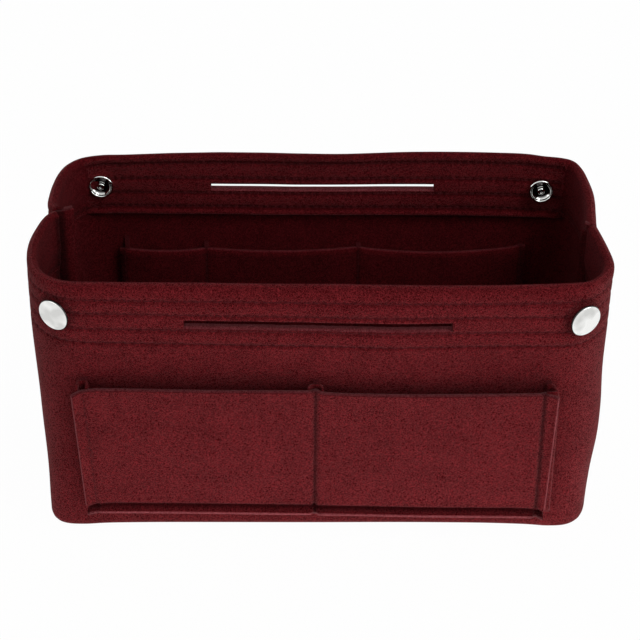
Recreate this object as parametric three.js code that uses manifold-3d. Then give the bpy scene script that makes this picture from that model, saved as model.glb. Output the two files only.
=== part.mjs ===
// Felt purse organizer: an open tub with folded hems, finger slots, press studs and sewn pockets.
// Millimetres, +Z up. The front faces -Y, and the origin is on the floor under the middle of the tub.
import * as THREE from 'three';
import { mergeVertices } from 'three/addons/utils/BufferGeometryUtils.js';
import Module from 'manifold-3d';

const wasm = await Module();
wasm.setup();

// Tub, measured over the outside of the felt
const RIM_WIDTH = 276;
const RIM_DEPTH = 123;
const FLOOR_WIDTH = 270;
const FLOOR_DEPTH = 112;
const HEIGHT = 150;
const FELT = 2.2;
const CORNER_RADIUS = 28;
const CORNER_STEPS = 8;

// Room between sewn layers, how far a cutter runs past a face, and how near points are one point
const GAP = 0.3;
const CUT_PAST = 1;
const MERGE_WITHIN = 1e-4;

// End walls: each is drawn in at its middle seam, whose two edges stand inwards
const SEAM_PINCH = 5;
const SEAM_FLANGE = 7;
const SEAM_TACK_LENGTH = 4;
const SEAM_TACK_HEIGHT = 2;

// Hem: the felt folded over and sewn down, with a finger slot through both layers
const HEM_HEIGHT = 33;
const FOLD_GAP = 0.3;
const FOLD_STEPS = 6;
const BEND_HEIGHT = 3.8;
const SLOT_LENGTH = 124;
const SLOT_HEIGHT = 5;
const SLOT_DROP = 18.8;
const SLOT_STEPS = 6;
const STITCH_DROPS = [6.5, 14.5, 23, 31];
const THREAD_WIDTH = 0.8;
const THREAD_PROUD = 0.4;

// Front pocket: one sheet with two bays
const FRONT_POCKET_HALF = 115;
const FRONT_POCKET_FOOT = 20;
const POCKET_DROP = 53;
const POCKET_ROOM = 7;
const POCKET_SEAM = 5;

// Inner pocket on the back wall: one sheet with three bays, from its left end to its right end
const INNER_POCKET_SEAMS = [-103, -60, 20, 105];
const INNER_POCKET_FOOT = 10;

// Sewn tacks at the pocket mouths
const TACK_LENGTH = 7;
const TACK_HEIGHT = 3;
const TACK_PROUD = 1.2;

// Press studs: the front ones sit part way round the corners, the back ones face straight forwards
const SNAP_DROP = 16.5;
const SNAP_TURN = THREE.MathUtils.degToRad(29);
const STUD_INSET = 25;
const SNAP_MARGIN = 9;
const SNAP_SIDES = 24;
const CAP_RADIUS = 8;
const CAP_HEIGHT = 3;
const CAP_LIP = 0.7;
const CAP_POST_RADIUS = 1.9;
const DOME_STEPS = 5;
const SOCKET_RADIUS = 6;
const SOCKET_THICKNESS = 3;
const NECK_RADIUS = 3.2;
const SOCKET_BORE = 2.4;
const SPRING_RADIUS = 3;
const SPRING_WIRE = 0.4;
const SPRING_SIDES = 6;
const STUD_RADIUS = 5.75;
const STUD_RING_HEIGHT = 1.4;
const STUD_RING_WIDTH = 0.9;
const STUD_FLOOR = 0.8;
const STUD_POST_RADIUS = 2;
const STUD_POST_HEIGHT = 3.6;
const STUD_TIP = 0.6;
const RIVET_RADIUS = 6.5;
const RIVET_HEIGHT = 1.8;
const RIVET_POST_RADIUS = 1;
const RIVET_GRIP = 0.3;

// Worked out from the sizes above
const HEM_FOOT = HEIGHT - HEM_HEIGHT;
const HEM_THICKNESS = 2 * FELT + FOLD_GAP;
const CORNER_X = RIM_WIDTH / 2 - CORNER_RADIUS;
const CORNER_Y = RIM_DEPTH / 2 - CORNER_RADIUS;
const STRAIGHT_HALF = CORNER_X - SNAP_MARGIN;
const WALL_TOP = HEM_FOOT - BEND_HEIGHT;
const POCKET_TOP = HEIGHT - POCKET_DROP;
const SNAP_Z = HEIGHT - SNAP_DROP;
const STUD_X = RIM_WIDTH / 2 - STUD_INSET;
const STUD_OFFSET = STUD_X - CORNER_X;
const SOCKET_STANDOFF = GAP + hollowDepth(SOCKET_RADIUS);
const STUD_STANDOFF = GAP + hollowDepth(STUD_OFFSET + STUD_RADIUS);
const SOCKET_NECK_TOP = -HEM_THICKNESS - GAP - hollowDepth(NECK_RADIUS);
const STUD_NECK_TOP = -HEM_THICKNESS - GAP - hollowDepth(STUD_OFFSET + NECK_RADIUS);

const FELT_FINISH = { color: 0x6b1a22, roughness: 0.95, metalness: 0 };
const THREAD_FINISH = { color: 0x4a1018, roughness: 0.7, metalness: 0 };
const METAL_FINISH = { color: 0xc9cacc, roughness: 0.22, metalness: 1 };

const organizer = new THREE.Group();

// How far the inside of a faceted corner curves away from flat at this distance from where it starts
function hollowDepth(reach) {
  const inside = CORNER_RADIUS - HEM_THICKNESS;
  const facet = inside * (1 - Math.cos(Math.PI / 4 / CORNER_STEPS));
  return inside - Math.sqrt(inside ** 2 - reach ** 2) + facet;
}

function addPiece(parent, name, geometry, finish) {
  const mesh = new THREE.Mesh(geometry, new THREE.MeshStandardMaterial(finish));
  mesh.name = name;
  parent.add(mesh);
}

function toSolid(geometry) {
  const bare = geometry.clone();
  bare.deleteAttribute('normal');
  bare.deleteAttribute('uv');
  const merged = mergeVertices(bare, MERGE_WITHIN);
  const vertProperties = new Float32Array(merged.attributes.position.array);
  const triVerts = new Uint32Array(merged.index.array);
  return new wasm.Manifold(new wasm.Mesh({ numProp: 3, vertProperties, triVerts }));
}

function toGeometry(solid) {
  const mesh = solid.getMesh();
  const geometry = new THREE.BufferGeometry();
  geometry.setAttribute('position', new THREE.BufferAttribute(mesh.vertProperties, 3));
  geometry.setIndex(new THREE.BufferAttribute(mesh.triVerts, 1));
  geometry.computeVertexNormals();
  return geometry;
}

function boxBetween(low, high) {
  const geometry = new THREE.BoxGeometry(high[0] - low[0], high[1] - low[1], high[2] - low[2]);
  geometry.translate((low[0] + high[0]) / 2, (low[1] + high[1]) / 2, (low[2] + high[2]) / 2);
  return geometry;
}

// The walls lean out from the floor up to the foot of the hem, and stand upright above it.
function flare(geometry) {
  const position = geometry.attributes.position;
  for (let i = 0; i < position.count; i += 1) {
    const drop = Math.max(0, 1 - position.getZ(i) / HEM_FOOT);
    position.setX(i, position.getX(i) * (1 - drop * (1 - FLOOR_WIDTH / RIM_WIDTH)));
    position.setY(i, position.getY(i) * (1 - drop * (1 - FLOOR_DEPTH / RIM_DEPTH)));
  }
  geometry.computeVertexNormals();
  return geometry;
}

// A quarter of the tub's plan, from where the straight wall ends, round the corner to the end seam.
function quarterLine(inset, startX, seamY) {
  const points = [new THREE.Vector2(startX, RIM_DEPTH / 2 - inset)];
  const radius = CORNER_RADIUS - inset;
  for (let step = 0; step <= CORNER_STEPS; step += 1) {
    const angle = (step / CORNER_STEPS) * (Math.PI / 2);
    points.push(new THREE.Vector2(CORNER_X + radius * Math.sin(angle), CORNER_Y + radius * Math.cos(angle)));
  }
  points.push(new THREE.Vector2(RIM_WIDTH / 2 - SEAM_PINCH - inset, seamY));
  return points;
}

// Mirrors plan points into one quarter of the tub: sideX and sideY are -1 or 1.
function inQuarter(points, sideX, sideY) {
  return points.map((point) => new THREE.Vector2(point.x * sideX, point.y * sideY));
}

function quarterStrip(thickness, sideX, sideY, bottom, top) {
  const outer = quarterLine(0, STRAIGHT_HALF + GAP, GAP / 2);
  const inner = quarterLine(thickness, STRAIGHT_HALF + GAP, GAP / 2);
  const shape = new THREE.Shape(inQuarter([...outer, ...inner.reverse()], sideX, sideY));
  const geometry = new THREE.ExtrudeGeometry(shape, { depth: top - bottom, bevelEnabled: false });
  return geometry.translate(0, 0, bottom);
}

// Where a press stud sits on the outside of the hem: its middle, and its turn about the upright axis
function snapSeat(sideX, sideY) {
  const turn = sideY < 0 ? SNAP_TURN : 0;
  const x = sideY < 0 ? CORNER_X + CORNER_RADIUS * Math.sin(turn) : STUD_X;
  const y = CORNER_Y + CORNER_RADIUS * Math.cos(turn);
  const angle = Math.atan2(-sideX * Math.sin(turn), sideY * Math.cos(turn));
  return { middle: new THREE.Vector3(sideX * x, sideY * y, SNAP_Z), angle };
}

function snapHole(sideX, sideY, radius) {
  const { middle, angle } = snapSeat(sideX, sideY);
  const length = HEM_THICKNESS + 2 * CORNER_RADIUS * (1 - Math.cos(SNAP_TURN));
  const hole = new THREE.CylinderGeometry(radius, radius, length, SNAP_SIDES);
  hole.translate(0, -HEM_THICKNESS / 2, 0);
  hole.rotateZ(angle);
  return toSolid(hole.translate(middle.x, middle.y, middle.z));
}

// One quarter of the tub: corner and half an end wall, with its hem, seam edge and stud hole.
function endWall(sideX, sideY, holeRadius) {
  const wall = toSolid(flare(quarterStrip(FELT, sideX, sideY, 0, HEM_FOOT)));
  const hem = toSolid(quarterStrip(HEM_THICKNESS, sideX, sideY, HEM_FOOT, HEIGHT));
  const seamX = RIM_WIDTH / 2 - SEAM_PINCH;
  const flangeX = [sideX * (seamX - FELT / 2), sideX * (seamX - FELT - SEAM_FLANGE)].sort((a, b) => a - b);
  const flangeY = [sideY * (GAP / 2), sideY * (GAP / 2 + FELT)].sort((a, b) => a - b);
  const flangeFoot = FELT + GAP;
  const lowFlange = boxBetween([flangeX[0], flangeY[0], flangeFoot], [flangeX[1], flangeY[1], HEM_FOOT]);
  const highFlange = boxBetween([flangeX[0], flangeY[0], HEM_FOOT], [flangeX[1], flangeY[1], HEIGHT]);
  const seamEdge = toSolid(flare(lowFlange)).add(toSolid(highFlange));
  const whole = wall.add(hem).add(seamEdge);
  return toGeometry(whole.subtract(snapHole(sideX, sideY, holeRadius)));
}

function addFloor() {
  const inset = FELT + GAP;
  const outline = [];
  for (const [sideX, sideY] of [[1, 1], [1, -1], [-1, -1], [-1, 1]]) {
    const quarter = inQuarter(quarterLine(inset, 0, 0).slice(1), sideX, sideY);
    outline.push(...(sideX * sideY > 0 ? quarter : quarter.reverse()));
  }
  const shape = new THREE.Shape(outline);
  const geometry = new THREE.ExtrudeGeometry(shape, { depth: FELT, bevelEnabled: false });
  geometry.scale(FLOOR_WIDTH / RIM_WIDTH, FLOOR_DEPTH / RIM_DEPTH, 1);
  addPiece(organizer, 'floor_panel', geometry, FELT_FINISH);
}

function addStraightWall(name, sideY) {
  const faces = [sideY * (RIM_DEPTH / 2 - FELT), sideY * (RIM_DEPTH / 2)].sort((a, b) => a - b);
  const wall = boxBetween([-STRAIGHT_HALF, faces[0], 0], [STRAIGHT_HALF, faces[1], WALL_TOP]);
  addPiece(organizer, `${name}_panel`, flare(wall), FELT_FINISH);
  const bend = boxBetween(
    [-STRAIGHT_HALF, faces[0], WALL_TOP + GAP],
    [STRAIGHT_HALF, faces[1], HEM_FOOT - GAP],
  );
  addPiece(organizer, `${name}_hem_bend`, flare(bend), FELT_FINISH);
}

// Section of a folded hem, with the distance out from the inner face along X and height along Y
function hemSection() {
  const foldY = HEIGHT - HEM_THICKNESS / 2;
  const middle = HEM_THICKNESS / 2;
  const section = new THREE.Shape();
  section.moveTo(HEM_THICKNESS, HEM_FOOT);
  section.lineTo(HEM_THICKNESS, foldY);
  section.absarc(middle, foldY, middle, 0, Math.PI, false);
  section.lineTo(0, HEM_FOOT);
  section.lineTo(FELT, HEM_FOOT);
  section.lineTo(FELT, foldY);
  section.absarc(middle, foldY, FOLD_GAP / 2, Math.PI, 0, true);
  section.lineTo(FELT + FOLD_GAP, HEM_FOOT);
  section.closePath();
  return section;
}

function slotCutter() {
  const radius = SLOT_HEIGHT / 2;
  const straight = SLOT_LENGTH / 2 - radius;
  const shape = new THREE.Shape();
  shape.moveTo(straight, -radius);
  shape.absarc(straight, 0, radius, -Math.PI / 2, Math.PI / 2, false);
  shape.absarc(-straight, 0, radius, Math.PI / 2, (3 * Math.PI) / 2, false);
  shape.closePath();
  const depth = RIM_DEPTH + 2 * CUT_PAST;
  const cutter = new THREE.ExtrudeGeometry(shape, { depth, bevelEnabled: false, curveSegments: SLOT_STEPS });
  cutter.rotateX(Math.PI / 2);
  return cutter.translate(0, depth / 2, HEIGHT - SLOT_DROP);
}

function addHem(name, sideY) {
  const length = 2 * STRAIGHT_HALF;
  const settings = { depth: length, bevelEnabled: false, curveSegments: FOLD_STEPS };
  const hem = new THREE.ExtrudeGeometry(hemSection(), settings);
  hem.rotateX(Math.PI / 2);
  hem.rotateZ(sideY * (Math.PI / 2));
  const innerFace = sideY * (RIM_DEPTH / 2 - HEM_THICKNESS);
  hem.translate(-sideY * STRAIGHT_HALF, innerFace, 0);
  addPiece(organizer, `${name}_hem`, toGeometry(toSolid(hem).subtract(toSolid(slotCutter()))), FELT_FINISH);
  const face = [sideY * (RIM_DEPTH / 2), sideY * (RIM_DEPTH / 2 + THREAD_PROUD)].sort((a, b) => a - b);
  STITCH_DROPS.forEach((drop, row) => {
    const z = HEIGHT - drop;
    const thread = boxBetween(
      [-STRAIGHT_HALF, face[0], z - THREAD_WIDTH / 2],
      [STRAIGHT_HALF, face[1], z + THREAD_WIDTH / 2],
    );
    addPiece(organizer, `${name}_hem_stitch_${row + 1}`, thread, THREAD_FINISH);
  });
}

// A sewn pocket: a sheet that stands off its wall, held at its ends, seams and foot, and open at the top.
function pocket(seams, foot, wallFace, sideY) {
  const near = wallFace + sideY * GAP;
  const far = near + sideY * POCKET_ROOM;
  const outside = far + sideY * FELT;
  const depth = [near, outside].sort((a, b) => a - b);
  const room = [near - sideY * CUT_PAST, far].sort((a, b) => a - b);
  const left = seams[0];
  const right = seams[seams.length - 1];
  let sheet = toSolid(boxBetween([left, depth[0], foot], [right, depth[1], POCKET_TOP]));
  for (let bay = 0; bay + 1 < seams.length; bay += 1) {
    const start = seams[bay] + (bay === 0 ? FELT : POCKET_SEAM / 2);
    const end = seams[bay + 1] - (bay + 2 === seams.length ? FELT : POCKET_SEAM / 2);
    const bayRoom = boxBetween([start, room[0], foot + FELT], [end, room[1], POCKET_TOP + CUT_PAST]);
    sheet = sheet.subtract(toSolid(bayRoom));
  }
  return flare(toGeometry(sheet));
}

// Small sewn tacks that tie a pocket's mouth to its wall at each seam
function addTacks(name, seams, wallFace, sideY) {
  const near = wallFace + sideY * GAP;
  const depth = [near, near + sideY * TACK_PROUD].sort((a, b) => a - b);
  const foot = POCKET_TOP + GAP;
  seams.forEach((x, index) => {
    const outermost = index === 0 || index === seams.length - 1;
    const shift = outermost ? (TACK_LENGTH / 2) * (index === 0 ? 1 : -1) : 0;
    const low = [x + shift - TACK_LENGTH / 2, depth[0], foot];
    const high = [x + shift + TACK_LENGTH / 2, depth[1], foot + TACK_HEIGHT];
    addPiece(organizer, `${name}_tack_${index + 1}`, flare(boxBetween(low, high)), THREAD_FINISH);
  });
}

function addPockets() {
  const frontSeams = [-FRONT_POCKET_HALF, 0, FRONT_POCKET_HALF];
  const frontFace = -RIM_DEPTH / 2;
  addPiece(organizer, 'front_pocket', pocket(frontSeams, FRONT_POCKET_FOOT, frontFace, -1), FELT_FINISH);
  addTacks('front_pocket', frontSeams, frontFace, -1);
  const outside = frontFace - GAP - POCKET_ROOM - FELT;
  frontSeams.forEach((x, index) => {
    const inward = -Math.sign(x) * POCKET_SEAM;
    const thread = boxBetween(
      [x + inward - THREAD_WIDTH / 2, outside - GAP / 2 - THREAD_PROUD, FRONT_POCKET_FOOT],
      [x + inward + THREAD_WIDTH / 2, outside - GAP / 2, POCKET_TOP],
    );
    addPiece(organizer, `front_pocket_stitch_${index + 1}`, flare(thread), THREAD_FINISH);
  });
  const backFace = RIM_DEPTH / 2 - FELT;
  const inner = pocket(INNER_POCKET_SEAMS, INNER_POCKET_FOOT, backFace, -1);
  addPiece(organizer, 'inner_pocket', inner, FELT_FINISH);
  addTacks('inner_pocket', INNER_POCKET_SEAMS, backFace, -1);
}

// A round piece from points given as radius and height along its own axis
function turned(points) {
  return new THREE.LatheGeometry(points.map(([radius, y]) => new THREE.Vector2(radius, y)), SNAP_SIDES);
}

// A domed head on a post: the felt's outer face is at height 0 and the post runs down through it.
function domedHead(radius, height, postRadius, postLength) {
  const points = [[0, -postLength], [postRadius, -postLength], [postRadius, GAP], [radius - CAP_LIP, GAP]];
  const shoulder = GAP + CAP_LIP;
  for (let step = 0; step <= DOME_STEPS; step += 1) {
    const angle = (step / DOME_STEPS) * (Math.PI / 2);
    const y = shoulder + (height - shoulder) * Math.sin(angle);
    points.push([step === DOME_STEPS ? 0 : radius * Math.cos(angle), y]);
  }
  return turned(points);
}

// The spring socket, a ring with a groove in its bore, on a neck that reaches the felt
function socketRing() {
  const back = -HEM_THICKNESS - SOCKET_STANDOFF;
  const front = back - SOCKET_THICKNESS;
  const middle = (back + front) / 2;
  const grooveRadius = SPRING_RADIUS + SPRING_WIRE + GAP;
  const grooveHalf = SPRING_WIRE + GAP;
  return turned([
    [SOCKET_BORE, front], [SOCKET_RADIUS - CAP_LIP, front], [SOCKET_RADIUS, front + CAP_LIP],
    [SOCKET_RADIUS, back], [NECK_RADIUS, back], [NECK_RADIUS, SOCKET_NECK_TOP],
    [SOCKET_BORE, SOCKET_NECK_TOP], [SOCKET_BORE, middle + grooveHalf], [grooveRadius, middle + grooveHalf],
    [grooveRadius, middle - grooveHalf], [SOCKET_BORE, middle - grooveHalf], [SOCKET_BORE, front],
  ]);
}

function socketSpring() {
  const ring = new THREE.TorusGeometry(SPRING_RADIUS, SPRING_WIRE, SPRING_SIDES, SNAP_SIDES);
  ring.rotateX(Math.PI / 2);
  return ring.translate(0, -HEM_THICKNESS - SOCKET_STANDOFF - SOCKET_THICKNESS / 2, 0);
}

// The stud, a dished ring with a post, on a neck with a blind hole behind for the rivet
function studBody() {
  const back = -HEM_THICKNESS - STUD_STANDOFF;
  const holeRadius = RIVET_POST_RADIUS + GAP;
  const holeEnd = back - RIVET_GRIP - GAP;
  const rim = back - STUD_RING_HEIGHT;
  const tip = back - STUD_POST_HEIGHT;
  return turned([
    [0, tip], [STUD_POST_RADIUS - STUD_TIP, tip], [STUD_POST_RADIUS, tip + STUD_TIP],
    [STUD_POST_RADIUS, back - STUD_FLOOR], [STUD_RADIUS - 2 * STUD_RING_WIDTH, back - STUD_FLOOR],
    [STUD_RADIUS - STUD_RING_WIDTH, rim], [STUD_RADIUS, rim], [STUD_RADIUS, back],
    [NECK_RADIUS, back], [NECK_RADIUS, STUD_NECK_TOP], [holeRadius, STUD_NECK_TOP],
    [holeRadius, holeEnd], [0, holeEnd],
  ]);
}

function snapPlace(sideX, sideY) {
  const { middle, angle } = snapSeat(sideX, sideY);
  const place = new THREE.Group();
  place.position.copy(middle);
  place.rotation.z = angle;
  organizer.add(place);
  return place;
}

function addSnaps(name, sideX) {
  const front = snapPlace(sideX, -1);
  const capPost = HEM_THICKNESS + SOCKET_STANDOFF + SPRING_WIRE;
  addPiece(front, `${name}_cap`, domedHead(CAP_RADIUS, CAP_HEIGHT, CAP_POST_RADIUS, capPost), METAL_FINISH);
  addPiece(front, `${name}_socket`, socketRing(), METAL_FINISH);
  addPiece(front, `${name}_socket_spring`, socketSpring(), METAL_FINISH);
  const back = snapPlace(sideX, 1);
  const rivetPost = HEM_THICKNESS + STUD_STANDOFF + RIVET_GRIP;
  addPiece(back, `${name}_stud`, studBody(), METAL_FINISH);
  const rivet = domedHead(RIVET_RADIUS, RIVET_HEIGHT, RIVET_POST_RADIUS, rivetPost);
  addPiece(back, `${name}_rivet`, rivet, METAL_FINISH);
}

// A tack across the top of an end seam's two standing edges
function addSeamTack(name, sideX) {
  const half = FELT + GAP / 2;
  const middle = RIM_WIDTH / 2 - SEAM_PINCH - FELT - SEAM_FLANGE + SEAM_TACK_LENGTH / 2;
  const ends = [sideX * middle - SEAM_TACK_LENGTH / 2, sideX * middle + SEAM_TACK_LENGTH / 2];
  const tack = boxBetween([ends[0], -half, HEIGHT], [ends[1], half, HEIGHT + SEAM_TACK_HEIGHT]);
  addPiece(organizer, `${name}_seam_tack`, tack, THREAD_FINISH);
}

addFloor();
for (const [name, sideY] of [['front', -1], ['back', 1]]) {
  addStraightWall(name, sideY);
  addHem(name, sideY);
}
for (const [name, sideX] of [['left', -1], ['right', 1]]) {
  const capHole = CAP_POST_RADIUS + GAP;
  const rivetHole = RIVET_POST_RADIUS + GAP;
  addPiece(organizer, `${name}_front_end`, endWall(sideX, -1, capHole), FELT_FINISH);
  addPiece(organizer, `${name}_back_end`, endWall(sideX, 1, rivetHole), FELT_FINISH);
  addSeamTack(name, sideX);
  addSnaps(name, sideX);
}
addPockets();

export default organizer;
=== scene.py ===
"""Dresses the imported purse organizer: an open felt tub with sewn hems, pockets and press studs.

Sizes are in millimetres until a mesh is written, because that is how the tub was measured. The
front faces -Y, and the tub stands on the floor at Z = 0.
"""

from __future__ import annotations

import json
import logging
import math
from collections.abc import Callable, Sequence
from dataclasses import dataclass, field
from enum import Enum
from typing import NamedTuple

import bmesh
import bpy
import numpy as np
from mathutils import Matrix, Quaternion, Vector, noise

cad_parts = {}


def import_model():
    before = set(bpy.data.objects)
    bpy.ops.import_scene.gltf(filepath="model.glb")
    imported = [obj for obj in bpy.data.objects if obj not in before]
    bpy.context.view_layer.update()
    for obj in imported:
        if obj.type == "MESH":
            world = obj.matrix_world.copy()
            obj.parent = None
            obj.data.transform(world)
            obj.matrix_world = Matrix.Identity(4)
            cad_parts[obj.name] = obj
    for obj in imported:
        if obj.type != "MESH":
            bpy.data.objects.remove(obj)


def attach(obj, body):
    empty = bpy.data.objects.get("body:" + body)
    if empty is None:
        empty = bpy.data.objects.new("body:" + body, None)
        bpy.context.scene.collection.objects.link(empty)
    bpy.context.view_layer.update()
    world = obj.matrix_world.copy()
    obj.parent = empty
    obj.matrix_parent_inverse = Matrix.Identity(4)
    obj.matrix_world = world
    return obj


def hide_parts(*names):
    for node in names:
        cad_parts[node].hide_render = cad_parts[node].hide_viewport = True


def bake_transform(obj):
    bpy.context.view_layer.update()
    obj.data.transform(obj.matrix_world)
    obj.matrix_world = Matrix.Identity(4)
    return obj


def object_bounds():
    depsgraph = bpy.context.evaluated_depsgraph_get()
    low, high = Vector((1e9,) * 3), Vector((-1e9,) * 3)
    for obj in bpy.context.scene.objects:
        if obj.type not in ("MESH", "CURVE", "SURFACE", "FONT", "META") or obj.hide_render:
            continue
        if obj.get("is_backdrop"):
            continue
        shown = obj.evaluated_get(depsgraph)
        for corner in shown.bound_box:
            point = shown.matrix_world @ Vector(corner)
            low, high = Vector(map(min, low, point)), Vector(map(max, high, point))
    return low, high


LOG = logging.getLogger("purse_organizer")
MM = 0.001

# Heights of the hem's foot, of the rim and of the place where the rim starts to curl.
HEM_FOOT = 117.0
RIM = 150.0
CURL_START = 141.0

# Thickness of the felt, and of the hem that is folded from it.
FELT = 2.2
HEM_THICKNESS = 4.9

# Y of the front wall's plain outer face, on the floor and at the hem.
FLOOR_FRONT = -56.0
HEM_FRONT = -61.5

# Stitching: where the needle starts from the left seam, its shift for each row, how far from a row
# the felt is pulled, the groove's half-width, and how much more a needle hole pulls.
HOLE_START = 5.0
HOLE_SHIFT = 1.3
PULL_REACH = 4.0
GROOVE = 1.0
HOLE_BEAT = 0.45


class Side(Enum):
    """A half of the tub, with the sign of its outward direction along Y."""

    FRONT = -1
    BACK = 1


@dataclass(frozen=True)
class Slot:
    """The opening that a finger slot leaves in the hem."""

    left: float
    right: float
    low: float
    high: float


# For each half: the heights of the hem's rows of stitching from the top, the stitches' pitch, how
# far stitching pinches the felt and how much it darkens it (sewn-down felt, with painted shade in
# the grooves), how far the rim rises and curls in along the long side, and the finger slot.
STITCH_HEIGHTS = {
    Side.FRONT: (142.8, 135.5, 127.0, 119.2),
    Side.BACK: (145.2, 136.6, 127.8, 119.6),
}
STITCH_PITCH = {Side.FRONT: 4.65, Side.BACK: 4.1}
PINCH = {Side.FRONT: 0.62, Side.BACK: 0.75}
SEWN_SHADE = {Side.FRONT: 0.36, Side.BACK: 0.42}
RISE = {Side.FRONT: 0.6, Side.BACK: 1.5}
CURL = {Side.FRONT: 1.5, Side.BACK: 2.6}
SLOTS = {
    Side.FRONT: Slot(-63.4, 62.2, 128.2, 133.0),
    Side.BACK: Slot(-56.8, 58.3, 129.6, 133.6),
}


class End(Enum):
    """An end of the tub, with the sign of its outward direction along X."""

    LEFT = -1
    RIGHT = 1


def linear(hex_colour: str) -> tuple[float, float, float, float]:
    """Turns an sRGB colour into the linear one that shaders take.

    Args:
        hex_colour: Six hex digits, such as "6b1c22".

    Returns:
        Linear red, green, blue and an alpha of 1.
    """
    parts = [int(hex_colour[i : i + 2], 16) / 255 for i in (0, 2, 4)]
    red, green, blue = (
        part / 12.92 if part <= 0.04045 else ((part + 0.055) / 1.055) ** 2.4 for part in parts
    )
    return red, green, blue, 1.0


def add_node(
    tree: bpy.types.NodeTree,
    kind: str,
    inputs: dict[str | int, object] | None = None,
    **settings: object,
) -> bpy.types.Node:
    """Adds one node, sets it up and wires it.

    Args:
        tree: The node tree to add to.
        kind: The node's type name.
        inputs: Socket name or number to a constant, or to the output socket that feeds it.
        **settings: Attributes of the node itself.

    Returns:
        The new node.
    """
    node = tree.nodes.new(kind)
    for name, value in settings.items():
        setattr(node, name, value)
    for socket, value in (inputs or {}).items():
        if isinstance(value, bpy.types.NodeSocket):
            tree.links.new(value, node.inputs[socket])
        else:
            node.inputs[socket].default_value = value
    return node


def new_tree(name: str) -> tuple[bpy.types.Material, bpy.types.NodeTree]:
    """Makes an empty node material.

    Args:
        name: The material's name.

    Returns:
        The material and its cleared node tree.
    """
    material = bpy.data.materials.new(name)
    material.use_nodes = True
    material.node_tree.nodes.clear()
    return material, material.node_tree


@dataclass(frozen=True)
class PressedFelt:
    """Pressed polyester felt: short fibres matted flat, so it is matt, mottled and a little hairy.

    Its fibres are drawn several times as wide as real ones, or they would be too fine to show.
    """

    name: str
    dark: str
    light: str
    sheen: float = 0.28
    curls: tuple[float, ...] = (1.2, 0.85)
    strand: float = 0.045
    grain: float = 0.5
    mottle: float = 12.0
    drift: float = 0.08
    # How dark the felt gets where it is fully sewn down or painted with shade.
    sewn_shade: float = 0.35
    relief: float = 0.2

    def material(self) -> bpy.types.Material:
        """Builds the felt's material.

        Returns:
            The material.
        """
        material, tree = new_tree(self.name)
        spot = add_node(tree, "ShaderNodeTexCoord").outputs["Object"]
        nap = self.fibres(tree, spot)
        grain, patches = (
            add_node(
                tree,
                "ShaderNodeTexNoise",
                {"Vector": spot, "Scale": 1 / (size * MM), "Detail": detail, "Roughness": 0.6},
            ).outputs["Fac"]
            for size, detail in ((self.grain, 2.0), (self.mottle, 3.0))
        )
        matted = add_node(tree, "ShaderNodeMath", {0: nap, 1: grain}, operation="ADD")
        rough = matted.outputs["Value"]
        shade, drift = (
            add_node(
                tree,
                "ShaderNodeMapRange",
                {
                    "Value": value,
                    "From Min": low,
                    "From Max": high,
                    "To Min": dark,
                    "To Max": light,
                },
            ).outputs["Result"]
            for value, low, high, dark, light in (
                (rough, 0.4, 1.6, 0.0, 1.0),
                (patches, 0.3, 0.7, -self.drift, self.drift),
            )
        )
        share = add_node(
            tree, "ShaderNodeMath", {0: shade, 1: drift}, operation="ADD", use_clamp=True
        )
        ramp = add_node(tree, "ShaderNodeValToRGB", {"Fac": share.outputs["Value"]})
        for element, colour in zip(ramp.color_ramp.elements, (self.dark, self.light)):
            element.color = linear(colour)
        # Darkens the felt where its points are marked: sewn down, and painted shade in grooves,
        # creases, under the hem and round the press studs.
        pressed = add_node(tree, "ShaderNodeAttribute", attribute_name="pressed")
        shadow = add_node(
            tree,
            "ShaderNodeMapRange",
            {"Value": pressed.outputs["Fac"], "To Min": 1.0, "To Max": self.sewn_shade},
        )
        sunk = add_node(
            tree,
            "ShaderNodeVectorMath",
            {0: ramp.outputs["Color"], "Scale": shadow.outputs["Result"]},
            operation="SCALE",
        )
        bump = add_node(
            tree,
            "ShaderNodeBump",
            {"Strength": 1.0, "Distance": self.relief * MM, "Height": rough},
        )
        shader = add_node(
            tree,
            "ShaderNodeBsdfPrincipled",
            {
                "Base Color": sunk.outputs["Vector"],
                "Roughness": 0.95,
                "IOR": 1.45,
                "Specular IOR Level": 0.08,
                "Sheen Weight": self.sheen,
                "Sheen Roughness": 0.24,
                "Sheen Tint": linear("d89898"),
                "Normal": bump.outputs["Normal"],
            },
        )
        add_node(tree, "ShaderNodeOutputMaterial", {"Surface": shader.outputs["BSDF"]})
        return material

    def fibres(self, tree: bpy.types.NodeTree, spot: bpy.types.NodeSocket) -> bpy.types.NodeSocket:
        """Draws curled fibres that lie over each other, along the level lines of a noise.

        Args:
            tree: The node tree to add to.
            spot: The coordinates to draw on.

        Returns:
            How strongly a fibre shows.
        """
        nap: bpy.types.NodeSocket | None = None
        for layer, size in enumerate(self.curls):
            curls = add_node(
                tree,
                "ShaderNodeTexNoise",
                {
                    "Vector": spot,
                    "W": 5.0 * layer,
                    "Scale": 1 / (size * MM),
                    "Detail": 1.0,
                    "Distortion": 0.5,
                },
                noise_dimensions="4D",
            ).outputs["Fac"]
            away = add_node(tree, "ShaderNodeMath", {0: curls, 1: 0.5}, operation="SUBTRACT")
            gap = add_node(tree, "ShaderNodeMath", {0: away.outputs["Value"]}, operation="ABSOLUTE")
            fibre = add_node(
                tree,
                "ShaderNodeMapRange",
                {
                    "Value": gap.outputs["Value"],
                    "From Max": self.strand,
                    "To Min": 1.0,
                    "To Max": 0.0,
                },
            ).outputs["Result"]
            if nap is None:
                nap = fibre
            else:
                over = add_node(tree, "ShaderNodeMath", {0: nap, 1: fibre}, operation="MAXIMUM")
                nap = over.outputs["Value"]
        return nap


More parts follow.
